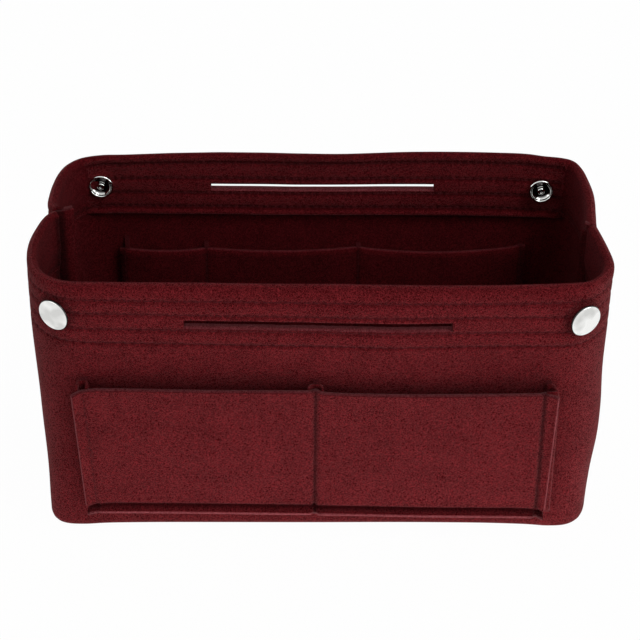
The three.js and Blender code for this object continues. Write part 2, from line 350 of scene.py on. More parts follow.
@dataclass(frozen=True)
class SpunThread:
    """Spun polyester sewing thread: two twisted plies, with a soft shine along each stitch."""

    name: str
    colour: str
    twist: float = 0.5
    ply_shades: tuple[float, float] = (0.7, 1.15)
    relief: float = 0.08

    def material(self) -> bpy.types.Material:
        """Builds the thread's material.

        Returns:
            The material.
        """
        material, tree = new_tree(self.name)
        plies = add_node(
            tree,
            "ShaderNodeTexWave",
            {
                "Vector": add_node(tree, "ShaderNodeTexCoord").outputs["Object"],
                "Scale": 1 / (2 * math.pi * self.twist * MM),
                "Distortion": 2.0,
                "Detail": 1.0,
            },
            bands_direction="DIAGONAL",
        ).outputs["Fac"]
        ramp = add_node(tree, "ShaderNodeValToRGB", {"Fac": plies})
        red, green, blue, alpha = linear(self.colour)
        for element, shade in zip(ramp.color_ramp.elements, self.ply_shades):
            element.color = (red * shade, green * shade, blue * shade, alpha)
        bump = add_node(
            tree,
            "ShaderNodeBump",
            {"Strength": 0.5, "Distance": self.relief * MM, "Height": plies},
        )
        shader = add_node(
            tree,
            "ShaderNodeBsdfPrincipled",
            {
                "Base Color": ramp.outputs["Color"],
                "Roughness": 0.75,
                "IOR": 1.5,
                "Specular IOR Level": 0.15,
                "Normal": bump.outputs["Normal"],
            },
        )
        add_node(tree, "ShaderNodeOutputMaterial", {"Surface": shader.outputs["BSDF"]})
        return material


@dataclass(frozen=True)
class PlatedBrass:
    """Nickel-plated brass, barrel-polished: bright and faintly clouded, with painted shade."""

    name: str
    clouded: str
    bright: str
    grime: str
    roughness: float
    marks: float = 3.0
    cloud: float = 7.0

    def material(self) -> bpy.types.Material:
        """Builds the plated metal's material.

        Returns:
            The material.
        """
        material, tree = new_tree(self.name)
        spot = add_node(tree, "ShaderNodeTexCoord").outputs["Object"]
        rubbing = add_node(
            tree,
            "ShaderNodeTexNoise",
            {"Vector": spot, "Scale": 1 / (self.marks * MM), "Detail": 4.0, "Roughness": 0.65},
        )
        gloss = add_node(
            tree,
            "ShaderNodeMapRange",
            {
                "Value": rubbing.outputs["Fac"],
                "From Min": 0.3,
                "From Max": 0.7,
                "To Min": self.roughness * 0.75,
                "To Max": self.roughness * 1.3,
            },
        )
        haze = add_node(
            tree,
            "ShaderNodeTexNoise",
            {"Vector": spot, "Scale": 1 / (self.cloud * MM), "Detail": 1.0},
        )
        ramp = add_node(tree, "ShaderNodeValToRGB", {"Fac": haze.outputs["Fac"]})
        stops = (0.35, self.clouded), (0.6, self.bright)
        for element, (position, colour) in zip(ramp.color_ramp.elements, stops):
            element.position = position
            element.color = linear(colour)
        # Painted shade: the metal turns dark round the caps' edges and in the studs' bowls.
        shade_mask = add_node(tree, "ShaderNodeAttribute", attribute_name="grime")
        face = add_node(
            tree,
            "ShaderNodeMix",
            {"Factor": shade_mask.outputs["Fac"], "A": ramp.outputs["Color"], "B": linear(self.grime)},
            data_type="RGBA",
        )
        shader = add_node(
            tree,
            "ShaderNodeBsdfPrincipled",
            {
                "Base Color": face.outputs["Result"],
                "Metallic": 1.0,
                "Roughness": gloss.outputs["Result"],
            },
        )
        add_node(tree, "ShaderNodeOutputMaterial", {"Surface": shader.outputs["BSDF"]})
        return material


@dataclass
class Finishes:
    """Every finish on the tub, built once."""

    felt: bpy.types.Material
    cut_felt: bpy.types.Material
    inner_felt: bpy.types.Material
    cut_inner: bpy.types.Material
    thread: bpy.types.Material
    plated: bpy.types.Material

    @property
    def outside(self) -> list[bpy.types.Material]:
        """Lists a sheet's finishes where its outer face shows: face, cut edge and inner face."""
        return [self.felt, self.cut_felt, self.inner_felt]

    @property
    def inside(self) -> list[bpy.types.Material]:
        """Lists a sheet's finishes where its inner face shows: face and cut edge."""
        return [self.inner_felt, self.cut_inner]

    @classmethod
    def build(cls) -> Finishes:
        """Builds the finishes.

        Returns:
            The finishes.
        """
        # The inner face and its cut edge are darker copies of the felt with less sheen: painted
        # shade for the inside of the tub.
        inner = PressedFelt("pressed_felt_inner_face", "3a0206", "781c22", sheen=0.06)
        cut_inner = PressedFelt("cut_felt_inner_edge", "4e0e13", "8a3036", sheen=0.1, mottle=4.0)
        # Its third colour is the painted shade on the press studs.
        plated = PlatedBrass("nickel_plated_brass", "d2d2d0", "f2f2f0", "1c1010", 0.1)
        return cls(
            felt=PressedFelt("pressed_felt_burgundy", "3e0206", "8a272d").material(),
            cut_felt=PressedFelt("cut_felt_edge", "621a20", "a85258", mottle=4.0).material(),
            inner_felt=inner.material(),
            cut_inner=cut_inner.material(),
            thread=SpunThread("spun_thread_burgundy", "4e0e14").material(),
            plated=plated.material(),
        )


def link_object(name: str, data: bpy.types.ID) -> bpy.types.Object:
    """Makes an object and links it to the scene.

    Args:
        name: The object's name.
        data: Its mesh, lamp or camera.

    Returns:
        The object.
    """
    made = bpy.data.objects.new(name, data)
    bpy.context.scene.collection.objects.link(made)
    return made


def finish_mesh(
    work: bmesh.types.BMesh, name: str, materials: Sequence[bpy.types.Material]
) -> bpy.types.Object:
    """Turns a bmesh into a named, smooth-shaded object at the origin.

    Args:
        work: The bmesh, which is freed.
        name: The object's name.
        materials: Its materials, in slot order.

    Returns:
        The object, linked to the scene.
    """
    for face in work.faces:
        face.smooth = True
    mesh = bpy.data.meshes.new(name)
    work.to_mesh(mesh)
    work.free()
    for material in materials:
        mesh.materials.append(material)
    piece = link_object(name, mesh)
    return piece


def finish_thread(
    work: bmesh.types.BMesh, name: str, node: str, body: str, finishes: Finishes
) -> bpy.types.Object:
    """Turns a bmesh of stitches into a thread piece that stands for a node.

    Args:
        work: The bmesh, which is freed.
        name: The piece's name.
        node: The node that it stands for.
        body: The body that it moves with.
        finishes: The tub's finishes.

    Returns:
        The piece.
    """
    piece = finish_mesh(work, name, [finishes.thread])
    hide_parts(node)
    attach(piece, body)
    return piece


def thicken(
    piece: bpy.types.Object, thickness: float, behind: float = -1.0, inner: bool = False
) -> None:
    """Gives a felt sheet its thickness, with a cut edge.

    Args:
        piece: The sheet, whose second material is the cut edge and third is the inner face.
        thickness: The felt's thickness.
        behind: -1 puts the thickness behind the face, 0 on both sides of it.
        inner: Whether the far side shows the felt's inner face.
    """
    solid = piece.modifiers.new("felt_thickness", "SOLIDIFY")
    solid.thickness = thickness * MM
    solid.offset = behind
    solid.material_offset_rim = 1
    solid.material_offset = 2 if inner else 0


def woven_grid(
    across: int,
    up: int,
    place: Callable[[int, int], Vector],
    keep: Callable[[int, int], bool] | None = None,
    pressed: Callable[[int, int], float] | None = None,
) -> bmesh.types.BMesh:
    """Makes a sheet from a grid and moves every point into place.

    Args:
        across: Cells along the first direction.
        up: Cells along the second direction.
        place: Where point (i, j) goes, in metres.
        keep: Whether cell (i, j) stays. All stay when left out.
        pressed: How far the felt is darkened at point (i, j), from 0 to 1, with painted shade.

    Returns:
        The sheet as a bmesh.
    """
    work = bmesh.new()
    bmesh.ops.create_grid(work, x_segments=across, y_segments=up, size=0.5)
    if keep is not None:
        gone = []
        for face in work.faces:
            middle = face.calc_center_median()
            cell = int((middle.x + 0.5) * across), int((middle.y + 0.5) * up)
            if not keep(*cell):
                gone.append(face)
        bmesh.ops.delete(work, geom=gone, context="FACES")
        loose = [vert for vert in work.verts if not vert.link_faces]
        bmesh.ops.delete(work, geom=loose, context="VERTS")
    layer = work.verts.layers.float.new("pressed")
    for vert in work.verts:
        i, j = round((vert.co.x + 0.5) * across), round((vert.co.y + 0.5) * up)
        vert.co = place(i, j)
        if pressed is not None:
            vert[layer] = pressed(i, j)
    return work


def join_sheet(whole: bmesh.types.BMesh, sheet: bmesh.types.BMesh) -> None:
    """Adds a sheet to a bmesh that already holds others.

    Args:
        whole: The bmesh to add to.
        sheet: The sheet, which is freed.
    """
    mesh = bpy.data.meshes.new("sheet")
    sheet.to_mesh(mesh)
    sheet.free()
    whole.from_mesh(mesh)
    bpy.data.meshes.remove(mesh)


def smooth_line(points: np.ndarray, cuts: int) -> np.ndarray:
    """Runs a smooth line through points.

    Args:
        points: One point a row, with any number of values.
        cuts: Steps between two points.

    Returns:
        The line's points, one a row.
    """
    ends = np.vstack([2 * points[0] - points[1], points, 2 * points[-1] - points[-2]])
    step = np.linspace(0, 1, cuts, endpoint=False)[:, None]
    runs = []
    for before, start, end, after in zip(ends, ends[1:], ends[2:], ends[3:]):
        first = end - before
        second = 2 * before - 5 * start + 4 * end - after
        third = 3 * start - before - 3 * end + after
        runs.append(0.5 * (2 * start + first * step + second * step**2 + third * step**3))
    return np.vstack([*runs, points[-1:]])


def bump_at(value: float, middle: float, width: float) -> float:
    """Gives a smooth bump of height 1 around a middle."""
    return math.exp(-(((value - middle) / width) ** 2))


def unit(value: float) -> float:
    """Keeps a value between 0 and 1."""
    return min(max(value, 0.0), 1.0)


def curl_share(height: float) -> float:
    """Gives how far up the rim's curl a height is: 0 where it starts, 1 at the rim."""
    return max(0.0, (height - CURL_START) / (RIM - CURL_START))


def first_hole(row: int) -> float:
    """Gives the distance from the left seam to the first needle hole of a row."""
    return HOLE_START + HOLE_SHIFT * row


def stitch_pull(side: Side, along: float, height: float) -> float:
    """Says how strongly the rows of stitching pull the hem in, most at the needle holes.

    Args:
        side: The half that the hem is on.
        along: The distance from the left seam.
        height: The height above the floor.

    Returns:
        The pull, from 0 to about 1.5.
    """
    pull = 0.0
    for row, middle in enumerate(STITCH_HEIGHTS[side], 1):
        if abs(height - middle) < PULL_REACH:
            beat = math.cos(2 * math.pi * (along - first_hole(row)) / STITCH_PITCH[side])
            pull += bump_at(height, middle, GROOVE) * (1 + HOLE_BEAT * beat)
    return pull


# For each half: where the right press stud's outer head sits on the hem, and the head's radius.
STUD_HEADS = {
    Side.FRONT: ((123.57, -57.99, 133.5), 8.0),
    Side.BACK: ((113.0, 61.5, 133.5), 6.4),
}

# Plan of the tub's outside, from the left end's seam round to the right end's seam. Each row: x
# and y at the hem, x and y on the floor, the rim's lean in x and y, and the swell half-way up.
FRONT_PLAN = (
    (-131.4, 6.0, -129.6, 5.4, 0, 0, 0),
    (-133.6, 3.4, -131.6, 3.0, 0, 0, 0),
    (-135.8, -1.6, -133.2, -1.6, 0, 0, 0),
    (-137.8, -10.0, -134.8, -10.0, 0, 0, 0),
    (-139.2, -19.0, -136.0, -19.0, 0, 0, 0.2),
    (-139.4, -28.0, -136.4, -28.0, 0, 0, 0.3),
    (-138.6, -36.0, -136.4, -36.0, 0, 0, 0.3),
    (-137.0, -42.4, -135.9, -43.0, 0, 0, 0.3),
    (-134.0, -48.4, -135.4, -49.8, 0, 0, 0),
    (-129.6, -53.8, -132.6, -55.2, 0, 0, 0),
    (-123.6, -58.1, -127.0, -58.2, 0, 0, 0),
    (-116.0, -60.7, -117.6, -58.7, 0, 0, 0),
    (-104.0, -61.5, -105.0, -57.6, 0, 0.6, 0),
    (-80.0, -61.5, -80.0, -56.8, 0, 1.2, 0),
    (-40.0, -62.2, -40.0, -56.2, 0, 2.0, 0),
    (0.0, -62.7, 0.0, -55.6, 0, 2.6, 0),
    (40.0, -63.2, 40.0, -54.8, 0, 2.8, 0),
    (80.0, -61.6, 80.0, -54.6, 0, 1.6, 0),
    (104.0, -60.9, 104.0, -55.2, 0, 2.2, 0),
    (115.5, -60.3, 116.4, -56.2, 0, 2.4, 0.3),
    (123.6, -57.8, 125.8, -55.3, 0, 1.8, 0.7),
    (129.8, -53.2, 131.9, -51.7, 0, 0.8, 1.3),
    (134.6, -47.0, 135.2, -46.2, 0, 0, 1.8),
    (137.6, -40.4, 136.9, -39.0, 0.6, 0, 2.1),
    (138.6, -33.0, 137.6, -31.0, 0.6, 0, 2.0),
    (138.0, -24.5, 137.2, -23.6, 0.4, 0, 1.6),
    (136.8, -16.0, 136.0, -15.6, 0.2, 0, 1.1),
    (135.4, -8.4, 134.4, -8.2, 0.1, 0, 0.8),
    (134.7, -4.6, 133.6, -4.6, 0, 0, 0.3),
    (134.2, -2.4, 133.0, -2.4, 0, 0, 0),
)
BACK_PLAN = (
    (-131.4, 6.0, -129.6, 5.4, 0, 0, 0),
    (-133.4, 9.2, -131.4, 8.4, 0, 0, 0),
    (-134.6, 14.0, -132.6, 13.0, 0, 0, 0),
    (-134.8, 23.0, -132.8, 21.0, 0.2, 0, 0),
    (-134.4, 32.0, -132.4, 29.0, 0.4, 0, 0),
    (-132.9, 41.0, -130.8, 37.0, 0.5, 0, 0),
    (-129.8, 49.4, -127.4, 44.8, 0.6, -0.4, 0),
    (-123.6, 56.8, -121.0, 51.0, 0.6, -1.4, 0),
    (-113.0, 61.3, -111.0, 54.8, 0.3, -2.5, 0),
    (-100.0, 61.8, -99.0, 55.8, 0, -1.8, 0),
    (-75.0, 61.6, -75.0, 56.0, 0, 1.0, 0),
    (-40.0, 61.8, -40.0, 56.0, 0, 1.6, 0),
    (0.0, 62.0, 0.0, 56.0, 0, 0.6, 0),
    (45.0, 62.6, 45.0, 56.0, 0, 2.8, 0),
    (80.0, 62.8, 80.0, 56.0, 0, 2.6, 0),
    (103.0, 62.4, 102.0, 55.6, 0, 2.8, 0),
    (114.0, 61.8, 112.6, 54.6, 0, 1.6, 0),
    (123.2, 60.6, 120.8, 52.2, 0, 1.4, 0),
    (129.4, 57.2, 126.6, 47.8, 0.2, 1.4, 0),
    (132.5, 50.4, 130.4, 42.0, 0.3, 0.6, 0),
    (134.2, 41.0, 132.4, 35.0, 0.4, 0, 0.2),
    (135.4, 31.0, 133.6, 27.0, 0.3, 0, 0.4),
    (135.5, 20.0, 133.8, 18.0, 0.2, 0, 0.5),
    (135.0, 9.0, 133.6, 8.0, 0, 0, 0.4),
    (134.4, 1.4, 133.2, 1.2, 0, 0, 0.2),
    (134.2, -2.4, 133.0, -2.4, 0, 0, 0),
)


# Slow waves in the felt: length along the plan, length up the wall, seed and height.
RIPPLES = ((62, 58, 3.7, 0.75), (17, 21, 9.1, 0.22))

# How much the left and the right end seam darken the felt (pinched felt, with painted shade in
# their creases), and how far from them.
SEAM_SHADES = ((0.95, 4.0), (0.3, 2.4))


class PlanRow(NamedTuple):
    """The plan at one place: hem, floor, lean, swell, and the way out at the hem and the floor."""

    hem_x: float
    hem_y: float
    floor_x: float
    floor_y: float
    lean_x: float
    lean_y: float
    swell: float
    out_x: float
    out_y: float
    low_x: float
    low_y: float


class PlanLine:
    """The tub's plan on one side, as columns that stand about equally far apart."""

    # Steps between two plan points. How far from the middle a slot's end and the long side's face
    # are looked for. The height of the swell's middle and its reach up and down. How far from the
    # end seams and from the floor the slow waves are weaker.
    cuts: int = 14
    slot_zone: float = 100.0
    long_zone: float = 128.0
    swell_height: float = 57.0
    swell_reach: float = 26.0
    end_fade: float = 25.0
    foot_fade: float = 20.0

    def __init__(self, side: Side, plan: Sequence[Sequence[float]], step: float) -> None:
        """Cuts the plan into columns.

        Args:
            side: The half that it goes round.
            plan: Rows of plan points, as above.
            step: The distance between two columns.
        """
        self.side = side
        dense = smooth_line(np.array(plan, float), self.cuts)
        run = np.concatenate([[0.0], np.cumsum(np.hypot(*np.diff(dense[:, :2], axis=0).T))])
        along = np.linspace(0, run[-1], round(run[-1] / step) + 1)
        middle = np.abs(dense[:, 0]) < self.slot_zone
        for edge in (SLOTS[side].left, SLOTS[side].right):
            pinned = np.interp(edge, dense[middle, 0], run[middle])
            along[np.argmin(np.abs(along - pinned))] = pinned
        self.along = along
        self.length = float(run[-1])
        table = np.column_stack([np.interp(along, run, values) for values in dense.T])
        outs = []
        for first in (0, 2):
            east, north = np.gradient(table[:, first]), np.gradient(table[:, first + 1])
            size = np.hypot(east, north)
            outs += [-side.value * north / size, side.value * east / size]
        self.table = np.column_stack([table, *outs])
        self.known: dict[float, PlanRow] = {}

    def row(self, along: float) -> PlanRow:
        """Reads the plan at a distance along it.

        Args:
            along: The distance from the left seam.

        Returns:
            The plan there.
        """
        if along not in self.known:
            after = min(max(int(np.searchsorted(self.along, along)), 1), len(self.along) - 1)
            start, end = self.along[after - 1], self.along[after]
            share = (along - start) / (end - start)
            mixed = self.table[after - 1] * (1 - share) + self.table[after] * share
            self.known[along] = PlanRow(*(float(value) for value in mixed))
        return self.known[along]

    def face_y(self, x: float, height: float) -> float:
        """Finds the long side's outer face.

        Args:
            x: The place along the tub.
            height: The height above the floor.

        Returns:
            The Y of the face.
        """
        long_side = np.abs(self.table[:, 0]) < self.long_zone
        along = np.interp(x, self.table[long_side, 0], self.along[long_side])
        return self.place(float(along), height, 0.0).y / MM

    def facing(self, along: float) -> float:
        """Says how squarely the hem faces front or back: 0 at an end, 1 on the long side."""
        return abs(self.row(along).out_y)

    def place(self, along: float, height: float, inset: float) -> Vector:
        """Finds a point of the wall.

        Args:
            along: The distance from the left seam.
            height: The height above the floor.
            inset: How far inside the outer face it is.

        Returns:
            The point, in metres.
        """
        row = self.row(along)
        up = unit(height / HEM_FOOT)
        over = max(0.0, (height - HEM_FOOT) / (RIM - HEM_FOOT)) ** 2
        top = curl_share(height)
        long_side = abs(row.out_y) ** 3
        out_x = row.low_x + (row.out_x - row.low_x) * up
        out_y = row.low_y + (row.out_y - row.low_y) * up
        size = math.hypot(out_x, out_y)
        stand = row.swell * bump_at(height, self.swell_height, self.swell_reach)
        stand += self.ripple(along, height)
        stand -= inset + CURL[self.side] * long_side * top**1.5
        x = row.floor_x + (row.hem_x - row.floor_x) * up + row.lean_x * over + out_x / size * stand
        y = row.floor_y + (row.hem_y - row.floor_y) * up + row.lean_y * over + out_y / size * stand
        return Vector((x, y, height + RISE[self.side] * long_side * top)) * MM

    def seam_shade(self, along: float) -> float:
        """Says how far the end seams darken the felt along it, with painted shade in their creases.
        """
        seams = zip(SEAM_SHADES, (0.0, self.length))
        return sum(shade * bump_at(along, seam, reach) for (shade, reach), seam in seams)

    def ripple(self, along: float, height: float) -> float:
        """Gives the felt's slow unevenness.

        Args:
            along: The distance from the left seam.
            height: The height above the floor.

        Returns:
            How far the face stands out of its smooth shape.
        """
        near_end = min(along, self.length - along)
        fade = min(1.0, near_end / self.end_fade) * min(1.0, height / self.foot_fade)
        waves = (
            tall * noise.noise(Vector((along / wide, height / high, seed * self.side.value)))
            for wide, high, seed, tall in RIPPLES
        )
        return fade * sum(waves)


@dataclass
class FeltWall:
    """One half of the tub below its hem: a long wall, two corners and half of each end."""

    side: Side
    plan: PlanLine
    finishes: Finishes
    body: str
    nodes: tuple[str, ...]
    turn_under: float = 5.0
    foot_height: float = 9.0
    even_top: float = 112.0
    sewn_from: float = 110.0
    tuck: float = 1.6
    tuck_top: float = 126.0
    end_zone: float = 49.0
    hem_shadow: tuple[float, float] = (114.6, 1.6)
    levels: list[tuple[float, float]] = field(init=False)

    def __post_init__(self) -> None:
        """Works out the wall's rows once."""
        self.levels = self.rows()

    def rows(self) -> list[tuple[float, float]]:
        """Lists the wall's rows from the floor up, closest together under the hem's last stitches.

        Returns:
            Height and inset of each row. The last two are tucked into the hem.
        """
        under = [math.radians(angle) for angle in (78, 60, 42, 25, 11)]
        found = [
            (self.turn_under * (1 - math.sin(angle)), self.turn_under * (1 - math.cos(angle)))
            for angle in under
        ]
        even = np.linspace(self.foot_height, self.even_top, 20)[1:]
        sewn = STITCH_HEIGHTS[self.side][-1]
        close = [sewn - drop for drop in (6.4, 5.6, 4.8, 4.0, 3.0, 2.2, 1.4, 0.7, 0.0)]
        plain = (self.turn_under, self.foot_height, *even, *close)
        found += [(float(height), 0.0) for height in plain]
        return [*found, (sewn + 0.7, self.tuck), (self.tuck_top, self.tuck)]

    def point(self, i: int, j: int) -> Vector:
        """Places a point of the wall, pulled in by the hem's lowest row of stitching.

        Args:
            i: The point's column.
            j: The point's row.

        Returns:
            The point, in metres.
        """
        height, inset = self.levels[j]
        along = self.plan.along[i]
        if inset == 0 and height > self.sewn_from:
            inset = PINCH[self.side] * stitch_pull(self.side, along, height)
        return self.plan.place(along, height, inset)

    def pressed(self, i: int, j: int) -> float:
        """Says how dark the wall is: sewn, with painted shade in grooves, creases and under the
        hem.

        Args:
            i: The point's column.
            j: The point's row.

        Returns:
            The shade, from 0 to 1.
        """
        height, along = self.levels[j][0], self.plan.along[i]
        shade = 0.0
        if height > self.sewn_from:
            shade = SEWN_SHADE[self.side] * stitch_pull(self.side, along, height)
        if self.side is Side.BACK:
            # Painted shadow under the hem's foot inside the back.
            shade += bump_at(height, *self.hem_shadow) * self.plan.facing(along) ** 4
        return min(1.0, shade + self.plan.seam_shade(along))

    def in_foot(self, i: int, j: int) -> bool:
        """Says whether a cell is in the low strip at an end, which stays with the floor.

        Args:
            i: The cell's column.
            j: The cell's row.

        Returns:
            True in the strip.
        """
        low = self.levels[j + 1][0] <= self.foot_height + 0.01
        ends = (self.plan.row(along).floor_y for along in self.plan.along[i : i + 2])
        return low and all(abs(floor_y) < self.end_zone for floor_y in ends)

    def sheet(self, part: str, foot: bool) -> bpy.types.Object:
        """Makes the wall's sheet, or the low strips at its ends, facing outwards.

        Args:
            part: The part's word in the piece's name.
            foot: Whether to make the low strips.

        Returns:
            The sheet.
        """
        work = woven_grid(
            len(self.plan.along) - 1,
            len(self.levels) - 1,
            self.point,
            lambda i, j: self.in_foot(i, j) == foot,
            self.pressed,
        )
        if self.side is Side.BACK:
            bmesh.ops.reverse_faces(work, faces=work.faces)
        name = f"{self.side.name.lower()}_{part}_felt"
        piece = finish_mesh(work, name, self.finishes.outside)
        thicken(piece, FELT, inner=True)
        return piece

    def build(self) -> bpy.types.Object:
        """Builds the wall.

        Returns:
            The wall.
        """
        piece = self.sheet("wall", foot=False)
        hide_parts(*self.nodes)
        bend_with(piece, self.side, self.body)
        return piece

    def build_foot(self) -> bpy.types.Object:
        """Builds the low strips at the ends, which stay on the floor.

        Returns:
            The strips.
        """
        piece = self.sheet("foot", foot=True)
        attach(piece, "base")
        return piece


def bend_with(piece: bpy.types.Object, side: Side, body: str) -> None:
    """Bakes a piece's transform into its mesh.

    Args:
        piece: The piece.
        side: Not used.
        body: Not used.
    """
    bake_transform(piece)


@dataclass
class FloorSheet:
    """The felt floor, seen when looking down into the tub."""

    front: PlanLine
    back: PlanLine
    finishes: Finishes
    inset: float = 3.2
    across: int = 96
    deep: int = 30
    wave: float = 40.0
    wave_height: float = 0.35

    def edge(self, line: PlanLine, share: float) -> Vector:
        """Finds where the floor meets a wall.

        Args:
            line: The wall's plan.
            share: How far along the plan it is, from 0 to 1.

        Returns:
            The floor edge's X and Y.
        """
        row = line.row(share * line.length)
        return Vector((row.floor_x - row.low_x * self.inset, row.floor_y - row.low_y * self.inset))

    def place(self, i: int, j: int) -> Vector:
        """Places a point of the floor, between the front wall and the back wall.

        Args:
            i: The point's column.
            j: The point's row.

        Returns:
            The point, in metres.
        """
        front, back = (self.edge(line, i / self.across) for line in (self.front, self.back))
        spot = front.lerp(back, j / self.deep)
        wave = noise.noise(Vector((spot.x / self.wave, spot.y / self.wave, 5.5)))
        return Vector((spot.x, spot.y, FELT + 0.2 + self.wave_height * wave)) * MM

    def build(self) -> bpy.types.Object:
        """Builds the floor.

        Returns:
            The floor.
        """
        work = woven_grid(self.across, self.deep, self.place)
        piece = finish_mesh(work, "floor_felt", self.finishes.inside)
        thicken(piece, FELT)
        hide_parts("floor_panel")
        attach(piece, "base")
        return piece


@dataclass
class FoldedHem:
    """The folded hem along one half of the rim, with a finger slot and four rows of stitching."""

    side: Side
    plan: PlanLine
    finishes: Finishes
    body: str
    head_seat: tuple[float, float, float]
    head_radius: float
    foot: float = 116.2
    row_step: float = 0.8
    long_side_y: float = 40.0
    lip_reach: float = 70.0
    lip_height: float = 120.0
    cut_reach: float = 112.0
    rim_wave: float = 34.0
    rim_wave_height: float = 0.5
    dimple_gap: float = 0.5
    dimple_width: float = 1.1
    dimple_depth: float = 0.3
    dimple_shade: float = 0.5
    thread: float = 0.36

    @property
    def name(self) -> str:
        """Gives the start of the hem's piece names."""
        return f"{self.side.name.lower()}_hem"

    @property
    def slot(self) -> Slot:
        """Gives the hem's finger slot."""
        return SLOTS[self.side]

    def heights(self) -> list[float]:
        """Lists the heights of a face's rows, from its foot to the start of the fold.

        Returns:
            The heights.
        """
        top = RIM - HEM_THICKNESS / 2
        even = np.arange(STITCH_HEIGHTS[self.side][-1], top, self.row_step)
        for edge in (self.slot.low, self.slot.high):
            even[int(np.argmin(np.abs(even - edge)))] = edge
        return [float(height) for height in even]

    def section(self) -> list[tuple[float, float, int]]:
        """Lists the hem's section, up its outer face, over the fold and down its inner face.

        Returns:
            Inset, height and the way that stitching pulls each point. The first comes again last.
        """
        middle = HEM_THICKNESS / 2
        outer = [(0.0, height, 1) for height in self.heights()]
        arc = [math.pi * k / 12 for k in range(1, 12)]
        fold = [
            (middle - middle * math.cos(a), RIM - middle + middle * math.sin(a), 0) for a in arc
        ]
        inner = [(HEM_THICKNESS, height, -1) for height in reversed(self.heights())]
        # How far the inner face's turned edge stands out, and how far above the hem's foot.
        flare = ((0.2, 2.0), (0.6, 1.0), (0.95, 0.0), (0.5, -0.6), (-0.9, -0.3), (-1.6, 1.0))
        foot = [(HEM_THICKNESS + out, self.foot + rise, 0) for out, rise in flare]
        return [*outer, *fold, *inner, *foot, (FELT + 0.2, self.foot + 2.0, 0), outer[0]]

    def in_slot(self, along: float, height: float) -> bool:
        """Says whether a place on a face is where the slot goes through.

        Args:
            along: The distance from the left seam.
            height: The height above the floor.

        Returns:
            True in the slot.
        """
        if not self.slot.low < height < self.slot.high:
            return False
        row = self.plan.row(along)
        on_long_side = self.side.value * row.hem_y > self.long_side_y
        return on_long_side and self.slot.left < row.hem_x < self.slot.right

    def sewn(self, along: float, height: float, way: int) -> float:
        """Says how strongly stitching pulls a face in, which fades inside towards the ends.

        Args:
            along: The distance from the left seam.
            height: The height above the floor.
            way: 1 on the outer face, -1 on the inner face, 0 elsewhere.

        Returns:
            The pull, from 0 to about 1.5.
        """
        if way == 0:
            return 0.0
        shown = 1.0 if way == 1 else unit((self.plan.facing(along) - 0.8) / 0.18)
        return shown * stitch_pull(self.side, along, height) if shown else 0.0

    def flattened(self, along: float, height: float) -> float:
        """Says how far the inner layer's foot lies flat: fully in the corners and ends."""
        corner = unit((0.97 - self.plan.facing(along)) / 0.12)
        return corner * unit((130 - height) / 13)

    def dimple(self, spot: Vector) -> float:
        """Says how far a press stud's head draws the outer face in.

        Args:
            spot: The point, in metres.

        Returns:
            The draw, from 0 to 1.
        """
        seat = Vector(self.head_seat) * MM
        gap = (Vector((abs(spot.x), spot.y, spot.z)) - seat).length / MM
        return bump_at(gap, self.head_radius + self.dimple_gap, self.dimple_width)

    def build(self) -> bpy.types.Object:
        """Builds the hem and cuts its slot.

        Returns:
            The hem.
        """
        section = self.section()
        columns = self.plan.along

        def place(i: int, j: int) -> Vector:
            """Places point (i, j) of the hem.

            Args:
                i: The point's column.
                j: The point's row.

            Returns:
                The point, in metres.
            """
            inset, height, way = section[j]
            if inset > FELT:
                inset -= (inset - FELT - 0.3) * self.flattened(columns[i], height)
            inset += way * PINCH[self.side] * self.sewn(columns[i], height, way)
            spot = self.rim_point(columns[i], height, inset)
            if way == 1 and self.dimple(spot) > 0.01:
                inset += self.dimple_depth * self.dimple(spot)
                spot = self.rim_point(columns[i], height, inset)
            return spot

        def keep(i: int, j: int) -> bool:
            """Says whether cell (i, j) is outside the slot.

            Args:
                i: The cell's column.
                j: The cell's row.

            Returns:
                True outside the slot.
            """
            flat = section[j][2] * section[j + 1][2] == 1
            height = (section[j][1] + section[j + 1][1]) / 2
            return not (flat and self.in_slot((columns[i] + columns[i + 1]) / 2, height))

        def pressed(i: int, j: int) -> float:
            """Says how dark the hem is at point (i, j): sewn, with painted shade.

            Args:
                i: The point's column.
                j: The point's row.

            Returns:
                The shade, from 0 to 1.
            """
            inset, height, way = section[j]
            shade = SEWN_SHADE[self.side] * self.sewn(columns[i], height, way)
            if way == 1:
                # Painted shadow in a ring round the press stud's head, where the felt is also drawn
                # in.
                shade += self.dimple_shade * self.dimple(self.rim_point(columns[i], height, inset))
            seam = (1.0 if way == -1 else 0.35) * self.plan.seam_shade(columns[i])
            return min(1.0, shade + seam)

        work = woven_grid(len(columns) - 1, len(section) - 1, place, keep, pressed)
        bmesh.ops.remove_doubles(work, verts=work.verts, dist=1e-7)
        lips = [
            edge
            for edge in work.edges
            if edge.is_boundary
            and all(
                abs(vert.co.x) < self.lip_reach * MM and vert.co.z > self.lip_height * MM
                for vert in edge.verts
            )
        ]
        for face in bmesh.ops.bridge_loops(work, edges=lips)["faces"]:
            face.material_index = 1
        open_edges = [edge for edge in work.edges if edge.is_boundary]
        caps = bmesh.ops.holes_fill(work, edges=open_edges, sides=0)["faces"]
        bmesh.ops.triangulate(work, faces=caps)
        bmesh.ops.recalc_face_normals(work, faces=work.faces)
        # Faces under the foot show the cut edge along the long sides and elsewhere take the darker
        # inner felt, as do faces that turn into the tub at the corners and ends: painted shade.
        for face in work.faces:
            middle = face.calc_center_median()
            if middle.z < self.foot * MM:
                face.material_index = 1 if abs(middle.x) < self.cut_reach * MM else 2
            elif face.normal.xy.dot(middle.xy) < 0 and abs(face.normal.y) < 0.9:
                face.material_index = 2
        piece = finish_mesh(work, f"{self.name}_felt", self.finishes.outside)
        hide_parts(self.name)
        bend_with(piece, self.side, self.body)
        return piece

